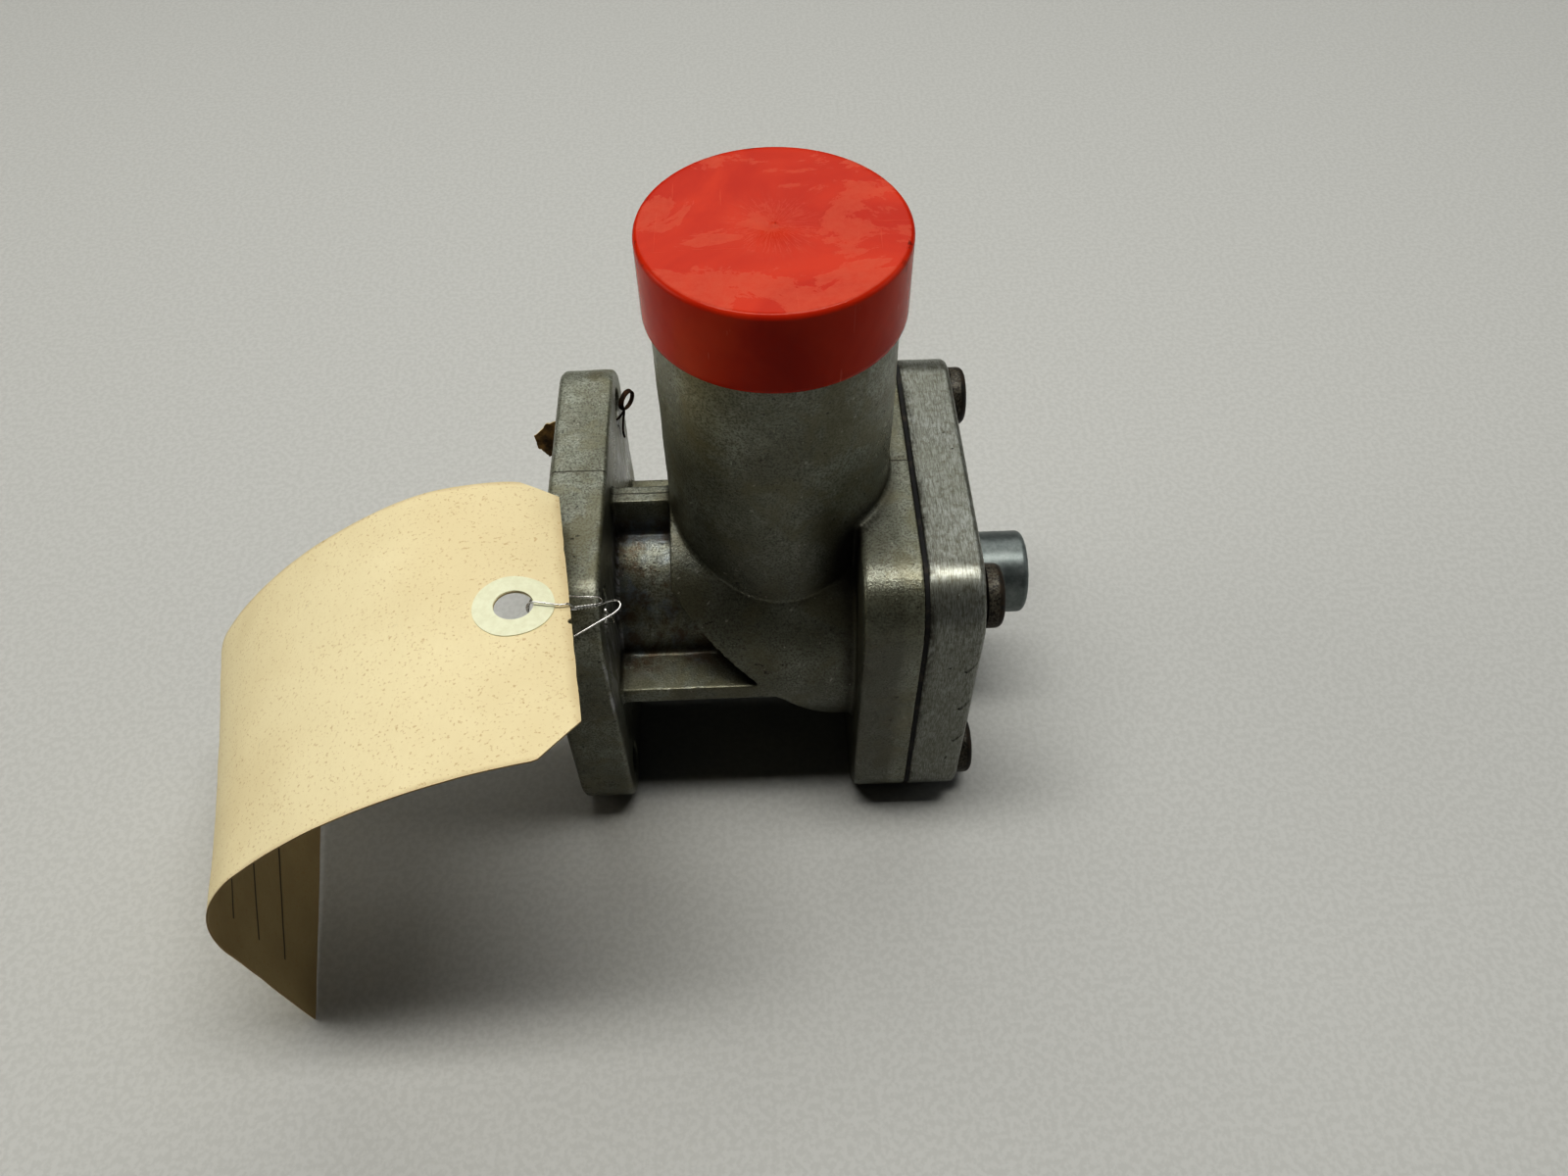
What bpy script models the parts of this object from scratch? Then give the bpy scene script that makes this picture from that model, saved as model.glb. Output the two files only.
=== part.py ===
"""Angle-pattern thermostatic steam trap with a plain spigot inlet, a flanged outlet and a square cover.

The outlet neck lies along X with its flange at -X, the inlet spigot points up, and the cover closes the
chamber at +X. The origin is on the floor under the middle of the trap. Lengths are in metres.
"""
import math

import bmesh
import bpy
from mathutils import Matrix, Vector

MM = 0.001
GAP = 0.3 * MM  # between neighbouring pieces

# Body casting
BODY_LENGTH = 107.6 * MM  # outlet flange's face to the end of the element holder
OUTLET_X = -BODY_LENGTH / 2
AXIS_Z = 40 * MM  # the neck's axis over the floor
FLANGE_SIDE = 80 * MM
FLANGE_CORNER = 12.5 * MM
FLANGE_EDGE = 1.6 * MM
OUTLET_FLANGE = 12.4 * MM
BOLT_OFFSET = 30 * MM  # bolt and screw centres from the axis, both ways
BOLT_HOLE = 4.5 * MM
NECK_RADIUS = 22 * MM
OUTLET_BORE = 16 * MM
OUTLET_BORE_DEPTH = 30 * MM
RIB_REACH = 32.3 * MM
RIB_THICK = 5 * MM
CHAMBER_START = 25.2 * MM
CHAMBER_RADIUS = 32.5 * MM
CAVITY_RADIUS = 27 * MM
CAVITY_START = 31 * MM
HEEL_AT_AXIS = 45.5 * MM  # where the slanting heel crosses the neck's axis
HEEL_WALL = 5.9 * MM
HEEL_ANGLE = math.radians(50)
INNER_BORE = 17.5 * MM
SEAT_WALL_END = 38 * MM  # the wall between outlet bore and inner bore ends here
SEAT_THREAD = 9.3 * MM
COVER_FLANGE_START = 64.9 * MM
COVER_FLANGE_END = 77.15 * MM
SCREW_HOLE = 3.4 * MM
SCREW_HOLE_DEPTH = 10.5 * MM
SPIGOT_AT = 49.1 * MM
SPIGOT_RADIUS = 23.85 * MM
SPIGOT_BORE = 20.6 * MM
SPIGOT_TOP = 138.6 * MM

# Cover
GASKET_THICK = 0.9 * MM
COVER_START = COVER_FLANGE_END + GASKET_THICK + 2 * GAP
COVER_END = 89.9 * MM
COVER_CORNER = 13 * MM
HEAD_RADIUS = 6.75 * MM
HEAD_HEIGHT = 3.9 * MM
SHANK_RADIUS = 3.1 * MM
SCREW_TIP = 67.4 * MM
SOCKET_RADIUS = 2.9 * MM
SOCKET_DEPTH = 2.4 * MM
HOLDER_RADIUS = 9.8 * MM
HOLDER_SHANK = 8 * MM
HOLDER_START = 75.7 * MM
HOLDER_BORE_END = 96 * MM

# Thermostatic element and seat, by their places along the neck's axis
SEAT_HEX_START = 39.4 * MM
SEAT_HEX_END = 43.4 * MM
SEAT_ORIFICE = 3.6 * MM
SEAT_MOUTH = 5.1 * MM
CONE_TIP = 41.2 * MM
CONE_LENGTH = 6 * MM
CONE_END = 48.2 * MM
STEM_RADIUS = 2 * MM
FRONT_PLATE = 54.5 * MM
PLATE_THICK = 2 * MM
PLATE_RADIUS = 11.6 * MM
BELLOWS_START = 56.8 * MM
BELLOWS_END = 68.8 * MM
BELLOWS_FOLDS = 4
BELLOWS_WALL = 0.6 * MM
BELLOWS_RADIUS = 12 * MM
BELLOWS_ROOT = 8.5 * MM
REAR_PLATE = 69.1 * MM
NUT_START = 71.4 * MM
NUT_THICK = 4 * MM
STUD_RADIUS = 3 * MM
STUD_END = 94 * MM
SCREEN_RADIUS = 17 * MM
SCREEN_WALL = 0.7 * MM
SCREEN_START = 44 * MM
SCREEN_END = 76 * MM

# Protective cap
CAP_RADIUS = 24.9 * MM
CAP_WALL = 0.75 * MM
CAP_TOP = 140.6 * MM
CAP_LID = 1.6 * MM
CAP_BOTTOM = 123.4 * MM
CAP_EDGE = 2 * MM

# Stock tag, 5 3/4 by 2 7/8 inches. Each long edge is a chain of (length, turn in degrees) arcs in an
# upright plane.
TAG_LENGTH = 146 * MM
TAG_CARD = 0.4 * MM
TAG_HEADING = math.radians(6.5)
FRONT_EDGE_START = (14.7 * MM, -79.3 * MM, 96.2 * MM)
FRONT_EDGE = (0, [(71 * MM, -42), (35 * MM, -54), (40 * MM, 0)])
BACK_EDGE_START = (3.1 * MM, -7.7 * MM, 84.0 * MM)
BACK_EDGE = (21, [(36.5 * MM, -44.5), (53.5 * MM, -27.5), (56 * MM, -88.5)])
TAG_CLIP = 8 * MM  # length of the clipped corners; they narrow the end by the next two
FRONT_CLIP = 7 * MM
BACK_CLIP = 4 * MM
TAG_WIDTH = 73 * MM
TAG_STATIONS = [0, TAG_CLIP, 15 * MM] + [TAG_LENGTH * share / 24 for share in range(3, 25)]
EYELET_AT = 10.4 * MM
EYELET_ACROSS = 36.8 * MM
EYELET_HOLE = 3.7 * MM
EYELET_PATCH = 7.7 * MM
PATCH_THICK = 0.25 * MM
PATCH_LIFT = 0.45 * MM

# Wires, as points from the outlet flange's face, the middle plane and the floor, in millimetres
TAG_WIRE_RADIUS = 0.2 * MM
TAG_WIRE = [
    (8.2, -43.4, 79.6), (12.6, -40.4, 79.7), (16, -38, 79.8), (16.9, -36.6, 80.2), (15.8, -35.5, 80.7),
    (13.9, -35.6, 81), (12.7, -36.2, 81.8), (11.6, -38.2, 84.8), (10.4, -40.4, 88.4), (8.9, -41.9, 91),
    (6.3, -42.9, 92.3), (3.5, -43.7, 92.6), (1.8, -44.2, 92.2), (1.1, -44.5, 90.4), (1.5, -44.7, 88.4),
    (3.7, -44.3, 86.9), (6.9, -42.9, 86.2), (9.8, -41, 84.8), (11.8, -39.2, 81.6), (13.4, -37.2, 78.6),
    (14.3, -35.4, 75.4), (14.3, -33.4, 70.4), (12.8, -31.7, 67.3), (9, -31.2, 66.6), (2, -31.2, 66.6),
    (-0.5, -31.8, 67.2), (-1.8, -33.4, 69.8), (-2, -34.6, 74), (-1.5, -34.9, 78.6), (0.2, -34.8, 81.4),
    (3.4, -34.4, 82.1), (7.4, -33.9, 82), (11.2, -34.3, 82.2),
]
RUSTY_WIRE_RADIUS = 0.45 * MM
RUSTY_COIL = (13.4, 30, 72.4)
RUSTY_COIL_RADIUS = 3.4
RUSTY_TURNS = 1.75
RUSTY_PITCH = 1.3
RUSTY_TAIL = [(13.9, 27.6, 66), (13.5, 27, 63)]
SCRAP_CARD = 0.9 * MM
SCRAP_OUTLINE = [
    (-1, 71.5), (-4.6, 70.2), (-7.6, 65.4), (-7.2, 60.2), (-5.4, 58.8), (-4.9, 55.2), (-0.8, 56.6),
]
SCRAP_Y = 25.6 * MM

TRAP = None  # the collections, made in main
CUTTERS = None


def at(distance):
    """World x of a place that far from the outlet flange's face."""
    return OUTLET_X + distance


def collection(name):
    made = bpy.data.collections.new(name)
    bpy.context.scene.collection.children.link(made)
    return made


def material(name, colour, roughness, metallic):
    made = bpy.data.materials.new(name)
    made.use_nodes = True
    shader = made.node_tree.nodes["Principled BSDF"]
    shader.inputs["Base Color"].default_value = (*colour, 1)
    shader.inputs["Roughness"].default_value = roughness
    shader.inputs["Metallic"].default_value = metallic
    made.diffuse_color = (*colour, 1)
    return made


def finish(obj, colour, roughness, metallic, smooth_angle=35):
    """Gives a finished sub-part its own material and smooth shading."""
    obj.data.materials.clear()
    obj.data.materials.append(material(obj.name + "_finish", colour, roughness, metallic))
    obj.data.shade_smooth()
    obj.data.set_sharp_from_angle(angle=math.radians(smooth_angle))
    return obj


def place(name, mesh, is_cutter=False):
    obj = bpy.data.objects.new(name, mesh)
    (CUTTERS if is_cutter else TRAP).objects.link(obj)
    if is_cutter:
        obj.hide_render = True
        obj.display_type = "WIRE"
    return obj


def from_bmesh(name, bm, is_cutter=False):
    mesh = bpy.data.meshes.new(name)
    bm.to_mesh(mesh)
    bm.free()
    return place(name, mesh, is_cutter)


def axis_matrix(direction):
    """Turns local Z to the given direction."""
    return Vector(direction).to_track_quat("Z", "Y").to_matrix().to_4x4()


def cylinder(name, radius, start, end, segments=48, is_cutter=False):
    """A closed cylinder between two points."""
    start, end = Vector(start), Vector(end)
    bm = bmesh.new()
    bmesh.ops.create_cone(
        bm, cap_ends=True, segments=segments, radius1=radius, radius2=radius, depth=(end - start).length,
        matrix=Matrix.Translation((start + end) / 2) @ axis_matrix(end - start),
    )
    return from_bmesh(name, bm, is_cutter)


def along_axis(name, radius, start, end, segments=48, is_cutter=False, y=0.0, z=AXIS_Z):
    """A cylinder along X, between two distances from the outlet flange's face."""
    return cylinder(name, radius, (at(start), y, z), (at(end), y, z), segments, is_cutter)


def box(name, low, high, is_cutter=False):
    low, high = Vector(low), Vector(high)
    size = high - low
    bm = bmesh.new()
    placed = Matrix.Translation((low + high) / 2) @ Matrix.Diagonal((*size, 1))
    bmesh.ops.create_cube(bm, size=1, matrix=placed)
    return from_bmesh(name, bm, is_cutter)


def square_plate(name, start, end, corner, edge, is_cutter=False):
    """A square plate across the axis, with round corners and, where edge isn't 0, rounded rims."""
    half = FLANGE_SIDE / 2
    bm = bmesh.new()
    size = Matrix.Diagonal((end - start, 2 * half, 2 * half, 1))
    bmesh.ops.create_cube(bm, size=1, matrix=Matrix.Translation((at((start + end) / 2), 0, AXIS_Z)) @ size)
    upright = [e for e in bm.edges if abs((e.verts[0].co - e.verts[1].co).normalized().x) > 0.9]
    bmesh.ops.bevel(bm, geom=upright, offset=corner, segments=8, profile=0.5, affect="EDGES")
    if edge:
        rims = [e for e in bm.edges if e.calc_face_angle() > math.radians(60)]
        bmesh.ops.bevel(bm, geom=rims, offset=edge, segments=3, profile=0.5, affect="EDGES")
    return from_bmesh(name, bm, is_cutter)


def turned(name, profile, closed, segments=48, direction=(1, 0, 0), origin=None):
    """A profile of (radius, height) pairs, top to bottom down its outer side, turned about an axis."""
    bm = bmesh.new()
    verts = [bm.verts.new((radius, 0, height)) for radius, height in profile]
    for a, b in zip(verts, verts[1:]):
        bm.edges.new((a, b))
    if closed:
        bm.edges.new((verts[-1], verts[0]))
    obj = from_bmesh(name, bm)
    screw = obj.modifiers.new("turn", "SCREW")
    screw.steps = segments
    screw.render_steps = segments
    screw.use_merge_vertices = True
    screw.merge_threshold = 0.00001
    obj.matrix_world = Matrix.Translation(origin or (0, 0, AXIS_Z)) @ axis_matrix(direction)
    return obj


def turned_on_axis(name, profile, closed=True, segments=48):
    """As turned, about the neck's axis, with heights as distances from the outlet flange's face."""
    return turned(name, [(radius, at(height)) for radius, height in profile], closed, segments)


def combine(obj, other, operation):
    modifier = obj.modifiers.new(operation.lower(), "BOOLEAN")
    modifier.operation = operation
    modifier.solver = "EXACT"
    modifier.object = other


def cut(obj, *cutters):
    for cutter in cutters:
        combine(obj, cutter, "DIFFERENCE")


def join(obj, *others):
    for other in others:
        combine(obj, other, "UNION")


def corners():
    """The four bolt centres round the axis, as (y, z)."""
    return [(sy * BOLT_OFFSET, AXIS_Z + sz * BOLT_OFFSET) for sz in (1, -1) for sy in (-1, 1)]


def arc(centre_radius, centre_height, radius, first, last, steps=4):
    """Profile points on an arc, from one angle to another in degrees."""
    angles = [math.radians(first + (last - first) * i / steps) for i in range(steps + 1)]
    return [(centre_radius + radius * math.cos(a), centre_height + radius * math.sin(a)) for a in angles]


def heel_block(name, distance):
    """A block that fills all below and behind the slanting heel, which crosses the axis at distance."""
    size = 160 * MM
    outward = Vector((-math.sin(HEEL_ANGLE), 0, -math.cos(HEEL_ANGLE)))
    centre = Vector((at(distance), 0, AXIS_Z)) + outward * size / 2
    bm = bmesh.new()
    bmesh.ops.create_cube(bm, size=size, matrix=Matrix.Translation(centre) @ axis_matrix(outward))
    return from_bmesh(name, bm, is_cutter=True)


def rib(name, sy, sz):
    """One of the four ribs that join the neck to the outlet flange."""
    start, inside, half = OUTLET_FLANGE - 1 * MM, 20 * MM, RIB_THICK / 2
    end = {(0, 1): 28 * MM, (0, -1): COVER_FLANGE_START + 1 * MM}.get((sy, sz), HEEL_AT_AXIS + 1 * MM)
    if sz:
        low, high = sorted((AXIS_Z + sz * inside, AXIS_Z + sz * RIB_REACH))
        return box(name, (at(start), -half, low), (at(end), half, high), is_cutter=True)
    low, high = sorted((sy * inside, sy * RIB_REACH))
    return box(name, (at(start), low, AXIS_Z - half), (at(end), high, AXIS_Z + half), is_cutter=True)


def body_cavity():
    """The chamber's hollow with the lower end of the inlet bore, bounded by the inside of the heel."""
    hollow = along_axis("cut_chamber", CAVITY_RADIUS, CAVITY_START, COVER_FLANGE_END + 3 * MM, 56, True)
    spigot = (at(SPIGOT_AT), 0)
    bore_end = (*spigot, SPIGOT_TOP + 5 * MM)
    join(hollow, cylinder("cut_inlet_bore", SPIGOT_BORE, (*spigot, AXIS_Z), bore_end, 48, True))
    cut(hollow, heel_block("cut_inner_heel", HEEL_AT_AXIS + HEEL_WALL))
    return hollow


def trap_body():
    body = along_axis("trap_body", CHAMBER_RADIUS, CHAMBER_START, COVER_FLANGE_START + 1 * MM, 64)
    spigot = (at(SPIGOT_AT), 0)
    join(body, cylinder("add_spigot", SPIGOT_RADIUS, (*spigot, 52 * MM), (*spigot, SPIGOT_TOP), 64, True))
    cut(body, heel_block("cut_heel", HEEL_AT_AXIS))
    join(body, along_axis("add_neck", NECK_RADIUS, OUTLET_FLANGE / 2, COVER_FLANGE_START + 1 * MM, 52, True))
    places = [(0, 1), (0, -1), (1, 0), (-1, 0)]
    join(body, *[rib(f"add_rib_{n}", sy, sz) for n, (sy, sz) in enumerate(places)])
    join(body, square_plate("add_outlet_flange", 0, OUTLET_FLANGE, FLANGE_CORNER, FLANGE_EDGE, True))
    join(body, square_plate("add_cover_flange", COVER_FLANGE_START, COVER_FLANGE_END, COVER_CORNER, 0, True))
    cut(body, body_cavity())
    cut(
        body,
        along_axis("cut_inner_bore", INNER_BORE, SEAT_WALL_END, COVER_FLANGE_END + 2 * MM, 52, True),
        along_axis("cut_outlet_bore", OUTLET_BORE, -2 * MM, OUTLET_BORE_DEPTH, 44, True),
        along_axis(
            "cut_seat_thread", SEAT_THREAD, OUTLET_BORE_DEPTH - 2 * MM, SEAT_WALL_END + 2 * MM, 32, True
        ),
    )
    for n, (y, z) in enumerate(corners()):
        cut(body, along_axis(f"cut_bolt_{n}", BOLT_HOLE, -2 * MM, OUTLET_FLANGE + 2 * MM, 20, True, y, z))
        hole_start = COVER_FLANGE_END - SCREW_HOLE_DEPTH
        hole_end = COVER_FLANGE_END + 2 * MM
        cut(body, along_axis(f"cut_screw_{n}", SCREW_HOLE, hole_start, hole_end, 16, True, y, z))
    finish(body, (0.36, 0.35, 0.31), 0.5, 0.85)


def cover_gasket():
    start = COVER_FLANGE_END + GAP
    gasket = square_plate("cover_gasket", start, start + GASKET_THICK, COVER_CORNER, 0)
    cut(gasket, along_axis("cut_gasket_bore", CAVITY_RADIUS, start - MM, start + 3 * MM, 48, True))
    for n, (y, z) in enumerate(corners()):
        cut(gasket, along_axis(f"cut_gasket_{n}", BOLT_HOLE, start - MM, start + 3 * MM, 16, True, y, z))
    finish(gasket, (0.02, 0.02, 0.022), 0.75, 0)


def cover():
    plate = square_plate("cover", COVER_START, COVER_END, COVER_CORNER, 1.3 * MM)
    cut(plate, along_axis("cut_cover_bore", HOLDER_SHANK + GAP, COVER_START - MM, COVER_END + MM, 40, True))
    for n, (y, z) in enumerate(corners()):
        cut(plate, along_axis(f"cut_cover_{n}", BOLT_HOLE, COVER_START - MM, COVER_END + MM, 20, True, y, z))
    finish(plate, (0.52, 0.52, 0.48), 0.38, 0.9)


def cover_screws():
    """Round-headed socket screws that hold the cover."""
    head_start, head_end = COVER_END + GAP, COVER_END + GAP + HEAD_HEIGHT
    round_edge = 1.5 * MM
    for n, (y, z) in enumerate(corners()):
        edge = arc(HEAD_RADIUS - round_edge, head_end - round_edge, round_edge, 90, 0, 3)
        profile = [(0, head_end), *edge, (HEAD_RADIUS, head_start), (SHANK_RADIUS, head_start)]
        profile.append((SHANK_RADIUS, SCREW_TIP + 0.8 * MM))
        profile += [(SHANK_RADIUS - 0.8 * MM, SCREW_TIP), (0, SCREW_TIP)]
        name = f"cover_screw_{n + 1}"
        screw = turned(name, [(r, at(h)) for r, h in profile], False, 24, origin=(0, y, z))
        floor, mouth = (at(head_end - SOCKET_DEPTH), y, z), (at(head_end + MM), y, z)
        socket = cylinder(f"cut_socket_{n}", SOCKET_RADIUS, floor, mouth, 6, True)
        cut(screw, socket)
        finish(screw, (0.045, 0.036, 0.026), 0.55, 0.7)


def element_holder():
    """The turned boss in the middle of the cover, with a blind thread inside for the element's stud."""
    shoulder, end, edge, bore = COVER_END + GAP, BODY_LENGTH, 1.4 * MM, STUD_RADIUS + GAP
    profile = [(0, end), *arc(HOLDER_RADIUS - edge, end - edge, edge, 90, 0), (HOLDER_RADIUS, shoulder)]
    profile += [(HOLDER_SHANK, shoulder), (HOLDER_SHANK, HOLDER_START), (bore, HOLDER_START)]
    profile += [(bore, HOLDER_BORE_END), (0, HOLDER_BORE_END)]
    finish(turned_on_axis("element_holder", profile, False, 32), (0.42, 0.44, 0.45), 0.3, 0.95)


def valve_seat():
    """Hexagonal screwed seat: shank in the wall, orifice on the axis and a conical mouth."""
    seat = along_axis("valve_seat", 12.4 * MM, SEAT_HEX_START, SEAT_HEX_END, 6)
    shank_start = OUTLET_BORE_DEPTH + 0.5 * MM
    join(seat, along_axis("add_seat_shank", SEAT_THREAD - GAP, shank_start, SEAT_HEX_START + MM, 32, True))
    cut(seat, along_axis("cut_orifice", SEAT_ORIFICE, shank_start - MM, SEAT_HEX_END + MM, 28, True))
    depth = 2 * (SEAT_MOUTH - SEAT_ORIFICE)
    low = Vector((at(SEAT_HEX_END - depth), 0, AXIS_Z))
    high = Vector((at(SEAT_HEX_END + 0.4 * MM), 0, AXIS_Z))
    slope = (SEAT_MOUTH - SEAT_ORIFICE) / depth
    bm = bmesh.new()
    bmesh.ops.create_cone(
        bm, cap_ends=True, segments=28, radius1=SEAT_ORIFICE, radius2=SEAT_MOUTH + 0.4 * MM * slope,
        depth=(high - low).length, matrix=Matrix.Translation((low + high) / 2) @ axis_matrix((1, 0, 0)),
    )
    cut(seat, from_bmesh("cut_seat_mouth", bm, True))
    finish(seat, (0.6, 0.6, 0.58), 0.25, 1)


def ring(name, inner, outer, start, end, colour, roughness, metallic, segments=40):
    profile = [(inner, end), (outer, end), (outer, start), (inner, start)]
    return finish(turned_on_axis(name, profile, True, segments), colour, roughness, metallic)


def seat_washer():
    copper = (0.6, 0.27, 0.13)
    ring("seat_washer", SEAT_THREAD + GAP, 12 * MM, SEAT_WALL_END + GAP, SEAT_HEX_START - GAP, copper, 0.35, 1)


def valve_cone():
    tip, end, radius = 2.2 * MM, CONE_END, 2.2 * MM + CONE_LENGTH / 2
    profile = [(0, end), (radius, end), (radius, CONE_TIP + CONE_LENGTH), (tip, CONE_TIP), (0, CONE_TIP)]
    cone = turned_on_axis("valve_cone", profile, False, 28)
    finish(cone, (0.62, 0.62, 0.6), 0.2, 1)


def valve_stem():
    stem = along_axis("valve_stem", STEM_RADIUS, CONE_END + GAP, FRONT_PLATE - GAP, 20)
    finish(stem, (0.62, 0.62, 0.6), 0.25, 1)


def bellows():
    """Folded tube between the two plates; its outer side runs in waves from the rear to the front."""
    middle, swing = (BELLOWS_RADIUS + BELLOWS_ROOT) / 2, (BELLOWS_RADIUS - BELLOWS_ROOT) / 2
    steps = 4 * BELLOWS_FOLDS
    outer = []
    for i in range(steps + 1):
        share = i / steps
        wave = -math.cos(2 * math.pi * BELLOWS_FOLDS * share)
        outer.append((middle + swing * wave, BELLOWS_END + (BELLOWS_START - BELLOWS_END) * share))
    inner = [(radius - BELLOWS_WALL, height) for radius, height in reversed(outer)]
    finish(turned_on_axis("bellows", outer + inner, True, 24), (0.72, 0.5, 0.2), 0.3, 1, 60)


def bellows_plates():
    brass = (0.7, 0.5, 0.22)
    front = along_axis("bellows_front_plate", PLATE_RADIUS, FRONT_PLATE, FRONT_PLATE + PLATE_THICK, 40)
    finish(front, brass, 0.3, 1)
    rear_end = REAR_PLATE + PLATE_THICK
    ring("bellows_rear_plate", STUD_RADIUS + GAP, PLATE_RADIUS, REAR_PLATE, rear_end, brass, 0.3, 1)


def element_stud():
    """Threaded stud of the element; its round flange inside the bellows stops them from being crushed."""
    flange_end, stop = REAR_PLATE - GAP, 60.5 * MM
    profile = [(0, STUD_END), (STUD_RADIUS, STUD_END), (STUD_RADIUS, flange_end), (5.5 * MM, flange_end)]
    profile += [(5.5 * MM, stop), (0, stop)]
    finish(turned_on_axis("element_stud", profile, False, 28), (0.6, 0.6, 0.58), 0.3, 1)


def lock_nut():
    nut = along_axis("lock_nut", 5.8 * MM, NUT_START, NUT_START + NUT_THICK, 6)
    cut(nut, along_axis("cut_nut", STUD_RADIUS + GAP, NUT_START - MM, NUT_START + NUT_THICK + MM, 24, True))
    finish(nut, (0.6, 0.58, 0.5), 0.35, 1)


def strainer():
    """Slotted sleeve round the seat and element, with a ring that centres it against the cover."""
    inner = SCREEN_RADIUS - SCREEN_WALL
    profile = [(inner, SCREEN_END), (SCREEN_RADIUS, SCREEN_END)]
    profile += [(SCREEN_RADIUS, SCREEN_START), (inner, SCREEN_START)]
    screen = turned_on_axis("strainer_screen", profile, True, 40)
    slots, rows, width = 10, 2, 3 * MM
    length = 11 * MM
    for row in range(rows):
        start = SCREEN_START + 3.5 * MM + row * (length + 3 * MM)
        for n in range(slots // 2):
            half = SCREEN_RADIUS + 3 * MM
            bm = bmesh.new()
            size = Matrix.Diagonal((length, width, 2 * half, 1))
            turn = Matrix.Rotation(math.pi * (n + row / 2) / (slots / 2), 4, "X")
            centre = Matrix.Translation((at(start + length / 2), 0, AXIS_Z))
            bmesh.ops.create_cube(bm, size=1, matrix=centre @ turn @ size)
            cut(screen, from_bmesh(f"cut_slot_{row}_{n}", bm, True))
    finish(screen, (0.58, 0.58, 0.56), 0.35, 1)
    ring_start = SCREEN_END + GAP
    ring("screen_ring", 13.5 * MM, SCREEN_RADIUS, ring_start, COVER_START - GAP, (0.58, 0.58, 0.56), 0.35, 1)


def protective_cap():
    """Push-on cap over the spigot; its origin is on the spigot's axis."""
    inner, lid = CAP_RADIUS - CAP_WALL, CAP_TOP - CAP_LID
    rim_edge = 0.25 * MM
    profile = [(0, CAP_TOP), *arc(CAP_RADIUS - CAP_EDGE, CAP_TOP - CAP_EDGE, CAP_EDGE, 90, 0, 5)]
    profile += [(CAP_RADIUS, CAP_BOTTOM + rim_edge), (CAP_RADIUS - rim_edge, CAP_BOTTOM), (inner, CAP_BOTTOM)]
    profile += [(inner, lid), (0, lid)]
    cap = turned("protective_cap", profile, False, 48, (0, 0, 1), (at(SPIGOT_AT), 0, 0))
    finish(cap, (0.78, 0.07, 0.02), 0.35, 0)


def edge_point(start, chain, distance):
    """The point that far along a long edge of the tag, which is a chain of arcs in an upright plane."""
    heading = Vector((-math.cos(TAG_HEADING), -math.sin(TAG_HEADING), 0))
    slope, arcs = math.radians(chain[0]), chain[1]
    point = Vector((at(start[0]), start[1], start[2]))
    for length, turn in arcs:
        part = min(distance, length)
        bend = math.radians(turn) * part / length
        chord = part if abs(bend) < 1e-6 else part * math.sin(bend / 2) / (bend / 2)
        middle = slope + bend / 2
        point += chord * (heading * math.cos(middle) + Vector((0, 0, math.sin(middle))))
        slope += bend
        distance -= part
    return point


def tag_point(along, across):
    """A point on the middle of the card: along from the eyelet end, across from the front edge."""
    share = across / TAG_WIDTH
    front = edge_point(FRONT_EDGE_START, FRONT_EDGE, along)
    return front.lerp(edge_point(BACK_EDGE_START, BACK_EDGE, along), share)


def tag_normal(along, across):
    """The card's upper side at that point."""
    step = 0.5 * MM
    run = tag_point(along + step, across) - tag_point(along - step if along > step else along, across)
    return run.cross(tag_point(along, across + step) - tag_point(along, across - step)).normalized() * -1


def grid(name, rows, thickness):
    """A sheet of triangles through rows of points, thickened evenly to both sides."""
    bm = bmesh.new()
    verts = [[bm.verts.new(point) for point in row] for row in rows]
    for a, b in zip(verts, verts[1:]):
        for i in range(len(a) - 1):
            bm.faces.new((a[i], a[i + 1], b[i + 1]))
            bm.faces.new((a[i], b[i + 1], b[i]))
    obj = from_bmesh(name, bm)
    solid = obj.modifiers.new("card", "SOLIDIFY")
    solid.thickness = thickness
    solid.offset = 0
    return obj


def card_rows(stations, lift):
    """Rows of points across the card, lifted off its middle; the first rows narrow to the clipped corners."""
    rows = []
    for along in stations:
        clipped = max(0.0, 1 - along / TAG_CLIP)
        first, last = FRONT_CLIP * clipped, TAG_WIDTH - BACK_CLIP * clipped
        places = [first + (last - first) * i / 4 for i in range(5)]
        rows.append([tag_point(along, across) + lift * tag_normal(along, across) for across in places])
    return rows


def tag():
    """Manila card with two clipped corners, held by its hole and standing on its far end."""
    card = grid("tag", card_rows(TAG_STATIONS, 0), TAG_CARD)
    cut(card, eyelet_cutter("cut_eyelet", EYELET_HOLE))
    finish(card, (0.86, 0.72, 0.46), 0.8, 0)


def eyelet_cutter(name, radius):
    """A cylinder through the card, round its hole."""
    centre = tag_point(EYELET_AT, EYELET_ACROSS)
    reach = 6 * MM * tag_normal(EYELET_AT, EYELET_ACROSS)
    return cylinder(name, radius, centre - reach, centre + reach, 24, True)


def tag_patch(name, side):
    """Reinforcing ring on one side of the card, round its hole."""
    patch = grid(name, card_rows(TAG_STATIONS[:5], side * PATCH_LIFT), PATCH_THICK)
    combine(patch, eyelet_cutter(f"keep_{name}", EYELET_PATCH), "INTERSECT")
    cut(patch, eyelet_cutter(f"cut_{name}", EYELET_HOLE + GAP))
    finish(patch, (0.9, 0.82, 0.62), 0.7, 0)


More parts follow.
